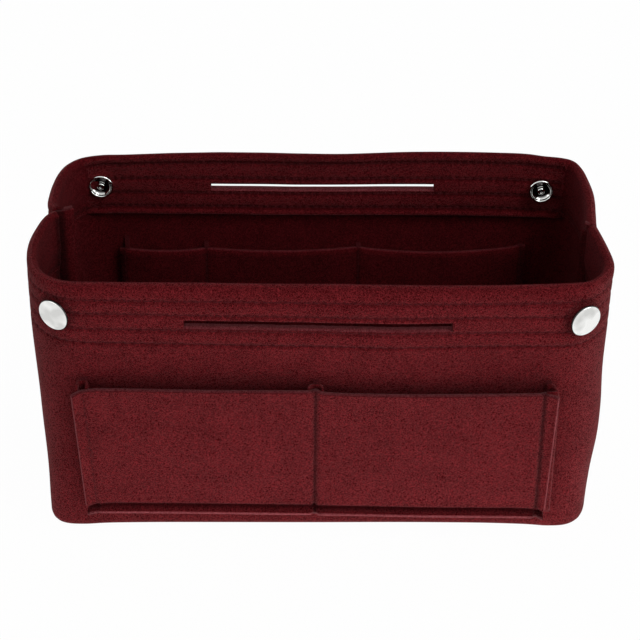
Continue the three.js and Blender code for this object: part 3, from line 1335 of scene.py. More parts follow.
    def rim_point(self, along: float, height: float, inset: float) -> Vector:
        """Finds a point of the hem, whose rim rises and falls a little.

        Args:
            along: The distance from the left seam.
            height: The height above the floor.
            inset: How far inside the outer face it is.

        Returns:
            The point, in metres.
        """
        spot = self.plan.place(along, height, inset)
        wave = noise.noise(Vector((along / self.rim_wave, 2.2 * self.side.value, 0.4)))
        spot.z += curl_share(height) * self.rim_wave_height * wave * MM
        return spot

    def build_stitches(self, row: int) -> bpy.types.Object:
        """Builds one row of stitches, on both faces of the hem.

        Args:
            row: The row's number, from 1 at the top.

        Returns:
            The stitches.
        """
        height = STITCH_HEIGHTS[self.side][row - 1]
        pitch = STITCH_PITCH[self.side]
        sunk = 0.85 * PINCH[self.side]
        work = bmesh.new()
        for way, inset in ((1, sunk), (-1, HEM_THICKNESS - sunk)):
            hole = first_hole(row)
            while hole + pitch < self.plan.length - 4:
                if self.sewn(hole, height, way) > 0.3:
                    start, end = hole + 0.35, hole + (pitch - 0.55)
                    ends = [self.rim_point(along, height, inset) for along in (start, end)]
                    lay_stitch(work, *ends, self.thread)
                hole += pitch
        piece = finish_mesh(work, f"{self.name}_stitches_{row}", [self.finishes.thread])
        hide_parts(f"{self.name}_stitch_{row}")
        bend_with(piece, self.side, self.body)
        return piece


def lay_stitch(work: bmesh.types.BMesh, start: Vector, end: Vector, radius: float) -> None:
    """Lays one stitch of thread between two needle holes.

    Args:
        work: The bmesh to add to.
        start: The first hole.
        end: The second hole.
        radius: The thread's radius, in millimetres.
    """
    run = end - start
    turn = Vector((0, 0, 1)).rotation_difference(run.normalized()).to_matrix().to_4x4()
    size = Matrix.Diagonal((radius * MM, radius * MM, run.length / 2, 1))
    place = Matrix.Translation((start + end) / 2) @ turn @ size
    bmesh.ops.create_uvsphere(work, u_segments=6, v_segments=5, radius=1, matrix=place)


@dataclass
class SeamEdges:
    """An end seam's two cut edges, which stand inside the tub, with a tack across their top."""

    end: End
    finishes: Finishes
    seam_hem: tuple[float, float]
    seam_floor: tuple[float, float]
    edge: float
    top: float
    foot: float = 4.0
    pressed_felt: float = 1.5
    root_inset: float = 1.4
    bow: float = 2.4
    wave: float = 26.0
    wave_height: float = 0.6
    tack_height: float = 149.4
    tack_thread: float = 0.34
    across: int = 12
    up: int = 44

    def layer_point(self, share: float, height: float, layer: float) -> Vector:
        """Finds a point of one standing edge.

        Args:
            share: How far it is from inside the seam, 0, to the cut edge, 1.
            height: The height above the floor.
            layer: The distance along Y from the seam to the layer's face.

        Returns:
            The point, in metres.
        """
        up = min(height / HEM_FOOT, 1.0)
        low, high = self.seam_floor, self.seam_hem
        root = low[0] + (high[0] - low[0]) * up - self.end.value * self.root_inset
        x = root + (self.end.value * self.edge - root) * share
        y = low[1] + (high[1] - low[1]) * up
        wave = noise.noise(Vector((height / self.wave, 4.0 * self.end.value, share)))
        bow = (self.bow * share + self.wave_height * wave) * share
        return Vector((x, y + layer + bow, height)) * MM

    def build(self) -> bpy.types.Object:
        """Builds both standing edges.

        Returns:
            The edges.
        """
        whole = bmesh.new()
        for layer, flip in ((-self.pressed_felt - 0.1, False), (self.pressed_felt + 0.1, True)):

            def place(i: int, j: int) -> Vector:
                """Places point (i, j) of this layer."""
                height = self.foot + (self.top - (0.9 if flip else 0.0) - self.foot) * j / self.up
                return self.layer_point(i / self.across, height, layer)

            def painted_seam_shade(i: int, j: int) -> float:
                """Gives painted shade: in the seam's crease, and over all of the right end."""
                # Painted shade over all of the right end's edges.
                end_shade = 0.0 if self.end is End.LEFT else 0.4
                return max(end_shade, min(1.0, 3.0 - 4.4 * i / self.across))

            sheet = woven_grid(self.across, self.up, place, None, painted_seam_shade)
            if flip is (self.end is End.LEFT):
                bmesh.ops.reverse_faces(sheet, faces=sheet.faces)
            join_sheet(whole, sheet)
        name = f"{self.end.name.lower()}_seam_felt"
        piece = finish_mesh(whole, name, self.finishes.inside)
        thicken(piece, self.pressed_felt)
        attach(piece, "base")
        return piece

    def build_tack(self) -> bpy.types.Object:
        """Builds the tack over the top of the standing edges.

        Returns:
            The tack.
        """
        work = bmesh.new()
        stand = self.pressed_felt + 0.3
        for k in range(6):
            share = 0.96 - 0.08 * k
            lift = Vector((0, 0, (0.3 + 0.15 * (k % 2)) * MM))
            ends = [self.layer_point(share, self.tack_height, side) for side in (-stand, stand)]
            lay_stitch(work, ends[0] + lift, ends[1] + lift, self.tack_thread)
        node = f"{self.end.name.lower()}_seam_tack"
        return finish_thread(work, f"{node}_thread", node, "base", self.finishes)


def front_face(height: float) -> float:
    """Gives the Y of the front wall's outer face at a height."""
    return FLOOR_FRONT + (HEM_FRONT - FLOOR_FRONT) * height / HEM_FOOT


def back_face(height: float) -> float:
    """Gives the Y of the back wall's inner face at a height."""
    return -front_face(height) - FELT


# How deep and how dark the upright seam at each end of the front pocket is: sewn-down felt, with
# painted shade in its groove.
POCKET_SEAM_DEPTH = {End.LEFT: 0.3, End.RIGHT: 1.3}
POCKET_SEAM_SHADE = {End.LEFT: 0.25, End.RIGHT: 0.95}


@dataclass
class FrontPocket:
    """The two-bay pocket on the front: a face, its folded sides and foot, and a middle divider."""

    finishes: Finishes
    wall: PlanLine
    top_edges: tuple[float, float] = (-117.0, 113.2)
    foot_edges: tuple[float, float] = (-114.4, 112.2)
    middle: float = -1.5
    foot: float = 18.8
    top: float = 97.4
    stand_top: float = 9.6
    stand_foot: float = 8.6
    crease_depth: float = 2.2
    crease_flare: float = 1.5
    belly: float = 0.8
    middle_depth: float = 1.4
    edge_flare: float = 1.1
    edge_reach: float = 3.2
    fold_felt: float = 1.2
    bay_width: float = 114.0
    seam_width: float = 114.5
    thread: float = 0.3
    fold_cells: int = 26
    foot_cells: int = 60

    def up_share(self, height: float) -> float:
        """Gives how far up the pocket a height is, from 0 to 1."""
        return (height - self.foot) / (self.top - self.foot)

    def stand(self, height: float) -> float:
        """Gives how far the pocket's face stands off the wall at a height."""
        return self.stand_foot + (self.stand_top - self.stand_foot) * self.up_share(height)

    def behind(self, x: float, height: float, stand: float) -> Vector:
        """Finds a point between the wall and the pocket's face.

        Args:
            x: The place along the tub.
            height: The height above the floor.
            stand: How far off the wall it is.

        Returns:
            The point, in metres.
        """
        bow = self.wall.face_y(x, height) - front_face(height)
        near = max(0.0, 1 - max(stand, 0.0) / self.stand(height))
        return Vector((x, front_face(height) - stand + bow * near, height)) * MM

    def edge_x(self, end: End, height: float) -> float:
        """Finds an end of the pocket's face.

        Args:
            end: The end.
            height: The height above the floor.

        Returns:
            The X of the end.
        """
        index = 0 if end is End.LEFT else 1
        low, high = self.foot_edges[index], self.top_edges[index]
        return low + (high - low) * self.up_share(height)

    def seam(self, end: End, height: float) -> float:
        """Gives how far in from an end of the face its row of stitching is at a height."""
        return 5.0 if end is End.LEFT else 3.6 + 2.5 * self.up_share(height)

    def bay(self, across: float) -> tuple[bool, float]:
        """Says which bay a place is in.

        Args:
            across: The place: 0 at the left edge, 1 at the middle seam, 2 at the right edge.

        Returns:
            Whether it is the left bay, and the place in it from 0 to 1.
        """
        return across <= 1, across if across <= 1 else across - 1

    def x_at(self, across: float, height: float) -> float:
        """Finds a place across the face.

        Args:
            across: The place, as for bay.
            height: The height above the floor.

        Returns:
            The X of the place.
        """
        if across <= 1:
            start = self.edge_x(End.LEFT, height)
            return start + (self.middle - start) * across
        return self.middle + (self.edge_x(End.RIGHT, height) - self.middle) * (across - 1)

    def top_at(self, across: float) -> float:
        """Finds the pocket's mouth, which sags more on the right and droops at its ends.

        Args:
            across: The place, as for bay.

        Returns:
            The height of the mouth.
        """
        left, share = self.bay(across)
        sag = 0.4 * math.sin(math.pi * share) if left else 1.9 * math.sin(math.pi * share**0.55)
        # Depth, place and reach of each droop.
        droops = ((2.0, 0, 0.06), (1.4, 0, 0.02), (1.4, 2, 0.04))
        droop = sum(drop * bump_at(across, end, reach) for drop, end, reach in droops)
        return self.top - sag - droop

    def crease_at(self, across: float) -> float:
        """Finds the crease along the pocket's foot.

        Args:
            across: The place, as for bay.

        Returns:
            The height of the crease.
        """
        left, _ = self.bay(across)
        inside = min(1.0, min(across, 2 - across) / 0.09) ** 0.7
        return self.foot_at(across) + 0.4 + (2.1 if left else 1.7) * inside

    def foot_at(self, across: float) -> float:
        """Gives the height of the pocket's raw lower edge."""
        left, share = self.bay(across)
        return self.foot + (0.7 * math.sin(math.pi * share) ** 0.7 if left else 0.0)

    def height_at(self, across: float, share: float) -> float:
        """Gives the height of a place on the face, from its lower edge, 0, to its mouth, 1."""
        low = self.foot_at(across)
        return low + (self.top_at(across) - low) * share

    def face_point(self, across: float, share: float) -> Vector:
        """Finds a point of the pocket's face.

        Args:
            across: The place across the face, as for bay.
            share: How far up the face it is, from 0 to 1.

        Returns:
            The point, in metres.
        """
        height = self.height_at(across, share)
        x = self.x_at(across, height)
        crease = self.crease_at(across)
        belly = self.belly * math.sin(math.pi * self.bay(across)[1])
        off = self.stand(height) + belly * math.sin(math.pi * min(1, 0.2 + share))
        off -= self.middle_depth * bump_at(x, self.middle, 1.2)
        for end in End:
            inside = end.value * (self.edge_x(end, height) - x)
            off -= POCKET_SEAM_DEPTH[end] * bump_at(inside, self.seam(end, height), 1.0)
            off += self.edge_flare * max(0.0, 1 - inside / self.edge_reach) ** 1.6
        if height > crease:
            off -= self.crease_depth * bump_at(height, crease, 1.5)
        else:
            flare = (crease - height) / (crease - self.foot_at(across))
            off += (self.crease_depth + self.crease_flare) * flare**2 - self.crease_depth
        off += 0.5 * noise.noise(Vector((x / 45, height / 40, 7.7)))
        return Vector((x, front_face(height) - off, height)) * MM

    def spread(self) -> list[float]:
        """Lists the face's columns, close together at its seams.

        Returns:
            The places across the face, as for bay.
        """
        edge_steps = (0, 0.7, 1.4, 2.2, 3.0, 3.6, 4.2, 4.8, 5.4, 6.0, 6.6, 7.4)
        middle_steps = (-2.6, -1.6, -0.9, -0.4, 0, 0.4, 0.9, 1.6, 2.6)
        near_edge = [step / self.bay_width for step in edge_steps]
        near_middle = [1 + step / self.bay_width for step in middle_steps]
        even = [*np.linspace(0.08, 0.965, 32), *np.linspace(1.035, 1.92, 32)]
        return sorted([*near_edge, *near_middle, *even, *[2 - step for step in near_edge]])

    def build_face(self) -> bpy.types.Object:
        """Builds the pocket's face.

        Returns:
            The face.
        """
        columns = self.spread()
        foot_shares = [*np.linspace(0, 0.09, 17), 0.1, 0.114]
        shares = [*foot_shares, *sorted([*np.linspace(0.13, 1, 26), 0.98, 0.992])]

        def pressed(i: int, j: int) -> float:
            """Says how dark point (i, j) is: sewn, with painted shade, and a darker top edge.

            Args:
                i: The point's column.
                j: The point's row.

            Returns:
                The shade, from 0 to 1.
            """
            height = self.height_at(columns[i], shares[j])
            x = self.x_at(columns[i], height)
            crease = self.crease_at(columns[i])
            # Sewn-down felt at the middle seam, and painted shade in it and in the crease along the
            # foot.
            sewn = 0.9 * bump_at(x, self.middle, 0.8) + 0.9 * bump_at(height, crease - 0.5, 1.3)
            for end in End:
                inside = end.value * (self.edge_x(end, height) - x)
                sewn += POCKET_SEAM_SHADE[end] * bump_at(inside, self.seam(end, height), 1.0)
            return min(1.0, sewn + (0.55 if j == len(shares) - 1 else 0.0))

        work = woven_grid(
            len(columns) - 1,
            len(shares) - 1,
            lambda i, j: self.face_point(columns[i], shares[j]),
            None,
            pressed,
        )
        piece = finish_mesh(work, "front_pocket_felt", self.finishes.outside)
        thicken(piece, FELT, inner=True)
        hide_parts("front_pocket")
        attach(piece, "front_wall")
        return piece

    def fold_line(self, end: End, height: float) -> list[Vector]:
        """Lists a side fold's points at one height, from the face's edge back to the wall.

        Args:
            end: The pocket's end.
            height: The height above the floor.

        Returns:
            The points, in metres.
        """
        off = self.stand(height)
        # How far in from the face's end, and how far off the wall, each point is.
        if end is End.LEFT:
            section = (
                (6.7, off - 2.2), (6.7, 4.4), (6.6, 3.0), (6.0, 1.7), (4.2, 1.1), (2.4, 1.7),
                (1.9, 3.0), (1.8, 4.4), (1.8, off - 2.2),
            )
        else:
            poke = 3.2 * max(0.0, 1 - self.up_share(height)) ** 0.6
            section = (
                (5.0, off - 2.4), (2.4, off - 2.7), (0.6 - poke, off - 2.9), (-poke, off - 3.6),
                (0.4 - poke, off - 4.4), (1.2, 2.4), (2.2, 1.4), (4.5, 1.1),
            )
        edge = self.edge_x(end, height)
        return [self.behind(edge - end.value * step, height, stand) for step, stand in section]

    def build_folds(self) -> bpy.types.Object:
        """Builds the side folds, the foot and the middle divider that join the face to the wall.

        Returns:
            The folds.
        """
        whole = bmesh.new()
        up = self.fold_cells
        for end in End:
            low, top = self.foot - 0.6, 97.2 if end is End.LEFT else 97.6
            lines = [self.fold_line(end, low + (top - low) * j / up) for j in range(up + 1)]
            join_sheet(whole, woven_grid(len(lines[0]) - 1, up, lambda i, j: lines[j][i]))
        # How far above the pocket's foot, and how far off the wall, each row of the foot's fold is.
        foot_rows = ((2.8, 4.4), (2.3, 3.6), (2.4, 2.6), (2.8, 1.4), (3.2, -0.5))

        def foot_point(i: int, j: int) -> Vector:
            """Places point (i, j) of the foot's fold.

            Args:
                i: The point's column.
                j: The point's row.

            Returns:
                The point, in metres.
            """
            rise, stand = foot_rows[j]
            height = self.foot + rise
            start, end = (self.edge_x(which, height) for which in End)
            return self.behind(start + 2 + (end - start - 4) * i / self.foot_cells, height, stand)

        join_sheet(whole, woven_grid(self.foot_cells, len(foot_rows) - 1, foot_point))
        # Half of the pleat: how far from the middle, and how far from the wall to the face.
        half = ((3.2, 1.0), (3.4, 0.6), (3.0, 0.25), (1.6, 0.05))
        pleat = [*((-step, share) for step, share in half), (0.0, 0.0), *reversed(half)]

        def divider_point(i: int, j: int) -> Vector:
            """Places point (i, j) of the pleat that ties the middle to the wall.

            Args:
                i: The point's column.
                j: The point's row.

            Returns:
                The point, in metres.
            """
            height = self.foot + 3 + (self.top - 0.6 - self.foot - 3) * j / up
            step, share = pleat[i]
            stand = 1.1 + (self.stand(height) - 3.5) * share
            return self.behind(self.middle + step, height, stand)

        join_sheet(whole, woven_grid(len(pleat) - 1, up, divider_point))
        felt = self.finishes.felt
        piece = finish_mesh(whole, "front_pocket_folds", [felt, felt])
        thicken(piece, self.fold_felt, behind=0.0)
        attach(piece, "front_wall")
        return piece

    def seam_point(self, end: End | None, share: float) -> Vector:
        """Finds a point of an upright row of stitching.

        Args:
            end: The row's end of the pocket, or None for the middle row.
            share: How far up the face it is, from 0 to 1.

        Returns:
            The point, in metres.
        """
        if end is None:
            return self.face_point(1, share)
        height = self.height_at(1 + end.value, share)
        inset = self.seam(end, height) / self.seam_width
        return self.face_point(1 + end.value * (1 - inset), share)

    def build_stitches(self) -> list[bpy.types.Object]:
        """Builds the upright rows of stitching at the pocket's ends and middle.

        Returns:
            The three rows.
        """
        rows = []
        for number, end in enumerate((End.LEFT, None, End.RIGHT), 1):
            work = bmesh.new()
            share = 0.06
            while share < 0.94:
                ends = [self.seam_point(end, share + step) for step in (0.0, 0.044)]
                lay_stitch(work, *ends, self.thread)
                share += 0.056
            name, node = f"front_pocket_stitches_{number}", f"front_pocket_stitch_{number}"
            rows.append(finish_thread(work, name, node, "front_wall", self.finishes))
        return rows

    def build_tacks(self) -> list[bpy.types.Object]:
        """Builds the tacks that tie the pocket's mouth to the wall.

        Returns:
            The three tacks.
        """
        left, right = self.top_edges
        made = []
        spots = ((left + 5.0, 1.2), (self.middle, 1.2), (right - 3.4, 1.0))
        for number, (x, half) in enumerate(spots, 1):
            work = bmesh.new()
            for k in range(5):
                at = x - half + half * k / 2
                low, high = self.top - 0.3 + 0.3 * (k % 2), self.top + 2.0 - 0.4 * (k % 3)
                ends = self.behind(at, low, 1.5), self.behind(at + 0.3, high, 0.2)
                lay_stitch(work, *ends, self.thread)
            name, node = f"front_pocket_tack_thread_{number}", f"front_pocket_tack_{number}"
            made.append(finish_thread(work, name, node, "front_wall", self.finishes))
        return made


@dataclass
class InnerPocket:
    """The three-bay pocket inside the back: one sheet that bellies out between its seams."""

    finishes: Finishes
    seams: tuple[float, ...] = (-103.0, -60.0, 20.0, 105.0)
    tops: tuple[float, ...] = (93.8, 94.4, 96.0, 98.1)
    sags: tuple[float, ...] = (0.2, 0.7, 2.2)
    foot: float = 9.5
    belly: float = 2.8
    overhang: float = 2.5
    wall_gap: float = 0.5
    up: int = 26
    thread: float = 0.36
    tack_thread: float = 0.32

    def bay(self, x: float) -> tuple[int, float]:
        """Finds the bay that a place is in.

        Args:
            x: The place along the tub.

        Returns:
            The bay's number and how far across it the place is.
        """
        number = min(max(int(np.searchsorted(self.seams, x)) - 1, 0), len(self.seams) - 2)
        start, end = self.seams[number], self.seams[number + 1]
        return number, unit((x - start) / (end - start))

    def point(self, x: float, share: float) -> Vector:
        """Finds a point of the sheet.

        Args:
            x: The place along the tub.
            share: How far up the sheet it is, from 0 to 1.

        Returns:
            The point, in metres.
        """
        number, across = self.bay(x)
        arch = math.sin(math.pi * across) ** 0.7
        edge = self.tops[number] + (self.tops[number + 1] - self.tops[number]) * across
        height = self.foot + (edge - self.sags[number] * arch - self.foot) * share
        swell = self.belly * arch * (0.25 + 0.75 * share**1.3)
        swell += 0.4 * noise.noise(Vector((x / 28, height / 30, 1.9)))
        y = back_face(height) - FELT - self.wall_gap - max(0.0, swell)
        return Vector((x, y, height)) * MM

    def build(self) -> bpy.types.Object:
        """Builds the sheet.

        Returns:
            The sheet.
        """
        bends = 0.5 - 0.5 * np.cos(np.linspace(0, np.pi, 25))
        bays = zip(self.seams, self.seams[1:])
        inside = {round(x, 3) for start, end in bays for x in start + (end - start) * bends}
        columns = [self.seams[0] - self.overhang, *sorted(inside), self.seams[-1] + self.overhang]

        def pressed(i: int, j: int) -> float:
            """Says how dark the sheet is at point (i, j): sewn seams, with painted shade in them.
            """
            return min(1.0, 0.8 * max(bump_at(columns[i], seam, 0.8) for seam in self.seams))

        work = woven_grid(
            len(columns) - 1,
            self.up,
            lambda i, j: self.point(columns[i], j / self.up),
            None,
            pressed,
        )
        piece = finish_mesh(work, "inner_pocket_felt", self.finishes.inside)
        thicken(piece, FELT)
        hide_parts("inner_pocket")
        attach(piece, "back_wall")
        return piece

    def build_stitches(self) -> bpy.types.Object:
        """Builds the stitching up the seams and along the foot.

        Returns:
            The stitches.
        """
        work = bmesh.new()
        out = Vector((0, -0.1 * MM, 0))
        for x in self.seams:
            share = 0.02
            while share < 0.96:
                ends = [self.point(x, share + step) + out for step in (0.0, 0.034)]
                lay_stitch(work, *ends, self.thread)
                share += 0.045
        x = self.seams[0]
        while x + 3 < self.seams[-1]:
            ends = [self.point(x + step, 0.035) + out for step in (0.0, 3.1)]
            lay_stitch(work, *ends, self.thread)
            x += 4.0
        piece = finish_mesh(work, "inner_pocket_stitches", [self.finishes.thread])
        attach(piece, "back_wall")
        return piece

    def build_tacks(self) -> list[bpy.types.Object]:
        """Builds the tacks at the top of each seam.

        Returns:
            The tacks.
        """
        made = []
        for number, (x, top) in enumerate(zip(self.seams, self.tops), 1):
            work = bmesh.new()
            tall = 101.4 if number == 1 else max(top + 0.8, 98.4)
            for k in range(4):
                at = x - 0.9 + 0.6 * k + (1.4 if number == 1 else 0.0)
                y = back_face(top) - FELT - self.wall_gap
                low = Vector((at, y, top - 1.2 - 0.3 * (k % 2))) * MM
                high = Vector((at, back_face(tall) - 0.3, tall - 0.4 * (k % 2))) * MM
                lay_stitch(work, low, high, self.tack_thread)
            name, node = f"inner_pocket_tack_thread_{number}", f"inner_pocket_tack_{number}"
            made.append(finish_thread(work, name, node, "back_wall", self.finishes))
        return made


# Radius and height along the axis of each point of a round piece, in millimetres.
Profile = list[tuple[float, float]]


def spun(profile: Profile, steps: int = 56) -> bmesh.types.BMesh:
    """Spins a profile into a round piece about its own Y axis.

    Args:
        profile: The piece's profile.
        steps: How many steps there are in a turn.

    Returns:
        The piece as a bmesh, in metres.
    """
    work = bmesh.new()
    verts = [work.verts.new(Vector((radius * MM, height * MM, 0))) for radius, height in profile]
    edges = [work.edges.new(pair) for pair in zip(verts, verts[1:])]
    bmesh.ops.spin(
        work,
        geom=[*verts, *edges],
        cent=(0, 0, 0),
        axis=(0, 1, 0),
        angle=2 * math.pi,
        steps=steps,
        use_merge=True,
    )
    bmesh.ops.remove_doubles(work, verts=work.verts, dist=1e-6)
    bmesh.ops.recalc_face_normals(work, faces=work.faces)
    return work


@dataclass
class PressStud:
    """One press stud: a domed cap and spring socket in front, a stud and its rivet behind."""

    end: End
    finishes: Finishes
    height: float = 133.5
    corner: tuple[float, float] = (110.0, 33.5)
    corner_radius: float = 28.0
    turn: float = math.radians(29)
    stud_x: float = 113.0
    hem: float = 4.7
    socket_gap: float = 1.198
    stud_gap: float = 2.118

    @property
    def name(self) -> str:
        """Gives the start of the stud's piece names."""
        return self.end.name.lower()

    def seat(self, side: Side) -> Matrix:
        """Finds where a half of the press stud sits on the outside of the hem.

        Args:
            side: The front or the back.

        Returns:
            The place, whose Y axis points out of the felt.
        """
        turn = self.turn if side is Side.FRONT else 0.0
        x = self.stud_x
        if side is Side.FRONT:
            x = self.corner[0] + self.corner_radius * math.sin(turn)
        y = self.corner[1] + self.corner_radius * math.cos(turn)
        angle = math.atan2(-self.end.value * math.sin(turn), side.value * math.cos(turn))
        middle = Vector((self.end.value * x, side.value * y, self.height)) * MM
        return Matrix.Translation(middle) @ Matrix.Rotation(angle, 4, "Z")

    def make(self, part: str, profile: Profile, side: Side, body: str) -> bpy.types.Object:
        """Makes one round piece of the press stud.

        Args:
            part: The piece's name after the end's.
            profile: Its profile.
            side: The half that it belongs to.
            body: The body that it moves with.

        Returns:
            The piece.
        """
        work = spun(profile)
        layer = work.verts.layers.float.new("grime")
        for vert in work.verts:
            vert[layer] = self.grime(part, math.hypot(vert.co.x, vert.co.z) / MM)
        bmesh.ops.transform(work, matrix=self.seat(side), verts=work.verts)
        name = f"{self.name}_{part}"
        piece = finish_mesh(work, f"{name}_plated", [self.finishes.plated])
        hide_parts(name)
        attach(piece, body)
        return piece

    def grime(self, part: str, radius: float) -> float:
        """Says how much painted shade a piece has at a point: round the cap's edge, in the stud's
        bowl.

        Args:
            part: The piece's name after the end's.
            radius: The point's distance from the piece's axis.

        Returns:
            The painted shade, from 0 to 1.
        """
        dark = {
            "cap": radius > 7.8,
            "stud": radius < 0.8 or 1.9 < radius < 4.8,
        }
        return 0.95 if dark.get(part, False) else 0.0

    def build(self) -> list[bpy.types.Object]:
        """Builds the press stud's five pieces.

        Returns:
            The pieces.
        """
        snap = f"{self.name}_snap"
        return [
            self.make("cap", self.cap_profile(), Side.FRONT, snap),
            self.make("socket", self.socket_profile(), Side.FRONT, snap),
            self.make("socket_spring", self.spring_profile(), Side.FRONT, snap),
            self.make("stud", self.stud_profile(), Side.BACK, "back_band"),
            self.make("rivet", self.rivet_profile(), Side.BACK, "back_band"),
        ]

    def cap_profile(self) -> Profile:
        """Gives the cap's profile: a post, a curled edge and a low dome.

        Returns:
            The profile.
        """
        post = self.hem + self.socket_gap + 0.4
        edge = [(0.0, -post), (1.7, -post), (1.9, -post + 0.2), (1.9, 0.35), (6.9, 0.3)]
        turns = np.linspace(0, math.pi * 0.9, 19)
        curl = [(7.3 + 0.8 * math.sin(a), 1.1 - 0.8 * math.cos(a)) for a in turns]
        dome = [(7.5 * k, 2.9 - 1.05 * k * k) for k in np.linspace(0.98, 0.0, 14)]
        return [*edge, *curl, *dome]

    def socket_profile(self) -> Profile:
        """Gives the socket's profile: a flanged ring with a grooved bore.

        Returns:
            The profile.
        """
        back = -self.hem - self.socket_gap
        front = back - 3.0
        middle = (back + front) / 2
        return [
            (2.4, front + 0.2), (2.7, front), (3.9, front), (4.2, front + 0.35),
            (4.9, front + 0.35), (5.4, front + 0.5), (5.85, front + 0.9), (6.0, front + 1.4),
            (5.9, back - 0.2), (5.6, back), (3.2, back), (3.2, back + 0.6), (2.4, back + 0.6),
            (2.4, middle + 0.7), (3.7, middle + 0.7), (3.7, middle - 0.7), (2.4, middle - 0.7),
            (2.4, front + 0.2),
        ]

    def spring_profile(self) -> Profile:
        """Gives the spring ring's profile: a closed round wire.

        Returns:
            The profile.
        """
        middle = -self.hem - self.socket_gap - 1.5
        turns = np.linspace(0, 2 * math.pi, 11)
        return [(3.0 + 0.4 * math.cos(a), middle + 0.4 * math.sin(a)) for a in turns]

    def stud_profile(self) -> Profile:
        """Gives the stud's profile: a rolled rim, a dished floor and a waisted post.

        Returns:
            The profile.
        """
        back = -self.hem - self.stud_gap
        base = back + self.stud_gap - 0.3
        turns = np.linspace(math.pi, 0, 9)
        rim = [(5.95 + 0.6 * math.cos(a), back - 1.35 - 0.6 * math.sin(a)) for a in turns]
        return [
            (0.0, back - 0.9), (0.6, back - 0.9), (0.8, back - 1.5), (1.1, back - 1.75),
            (1.5, back - 1.75), (1.85, back - 1.55), (1.95, back - 1.15), (1.8, back - 0.6),
            (1.8, back), (2.2, back + 0.3), (3.0, back + 0.35), (4.1, back), (5.0, back - 0.75),
            *rim, (6.4, back - 0.6), (5.9, back + 0.3), (5.4, base), (1.3, base), (0.0, base),
        ]

    def rivet_profile(self) -> Profile:
        """Gives the rivet's profile: a post and a low domed head.

        Returns:
            The profile.
        """
        post = self.hem + self.stud_gap + 0.3
        turns = np.linspace(0, math.pi * 0.75, 7)
        head = [(5.9 + 0.5 * math.sin(a), 0.8 - 0.5 * math.cos(a)) for a in turns]
        dome = [(6.2 * k, 1.8 - 0.65 * k * k) for k in np.linspace(0.98, 0.0, 12)]
        return [(0.0, -post), (1.0, -post), (1.0, 0.32), (5.4, 0.3), *head, *dome]


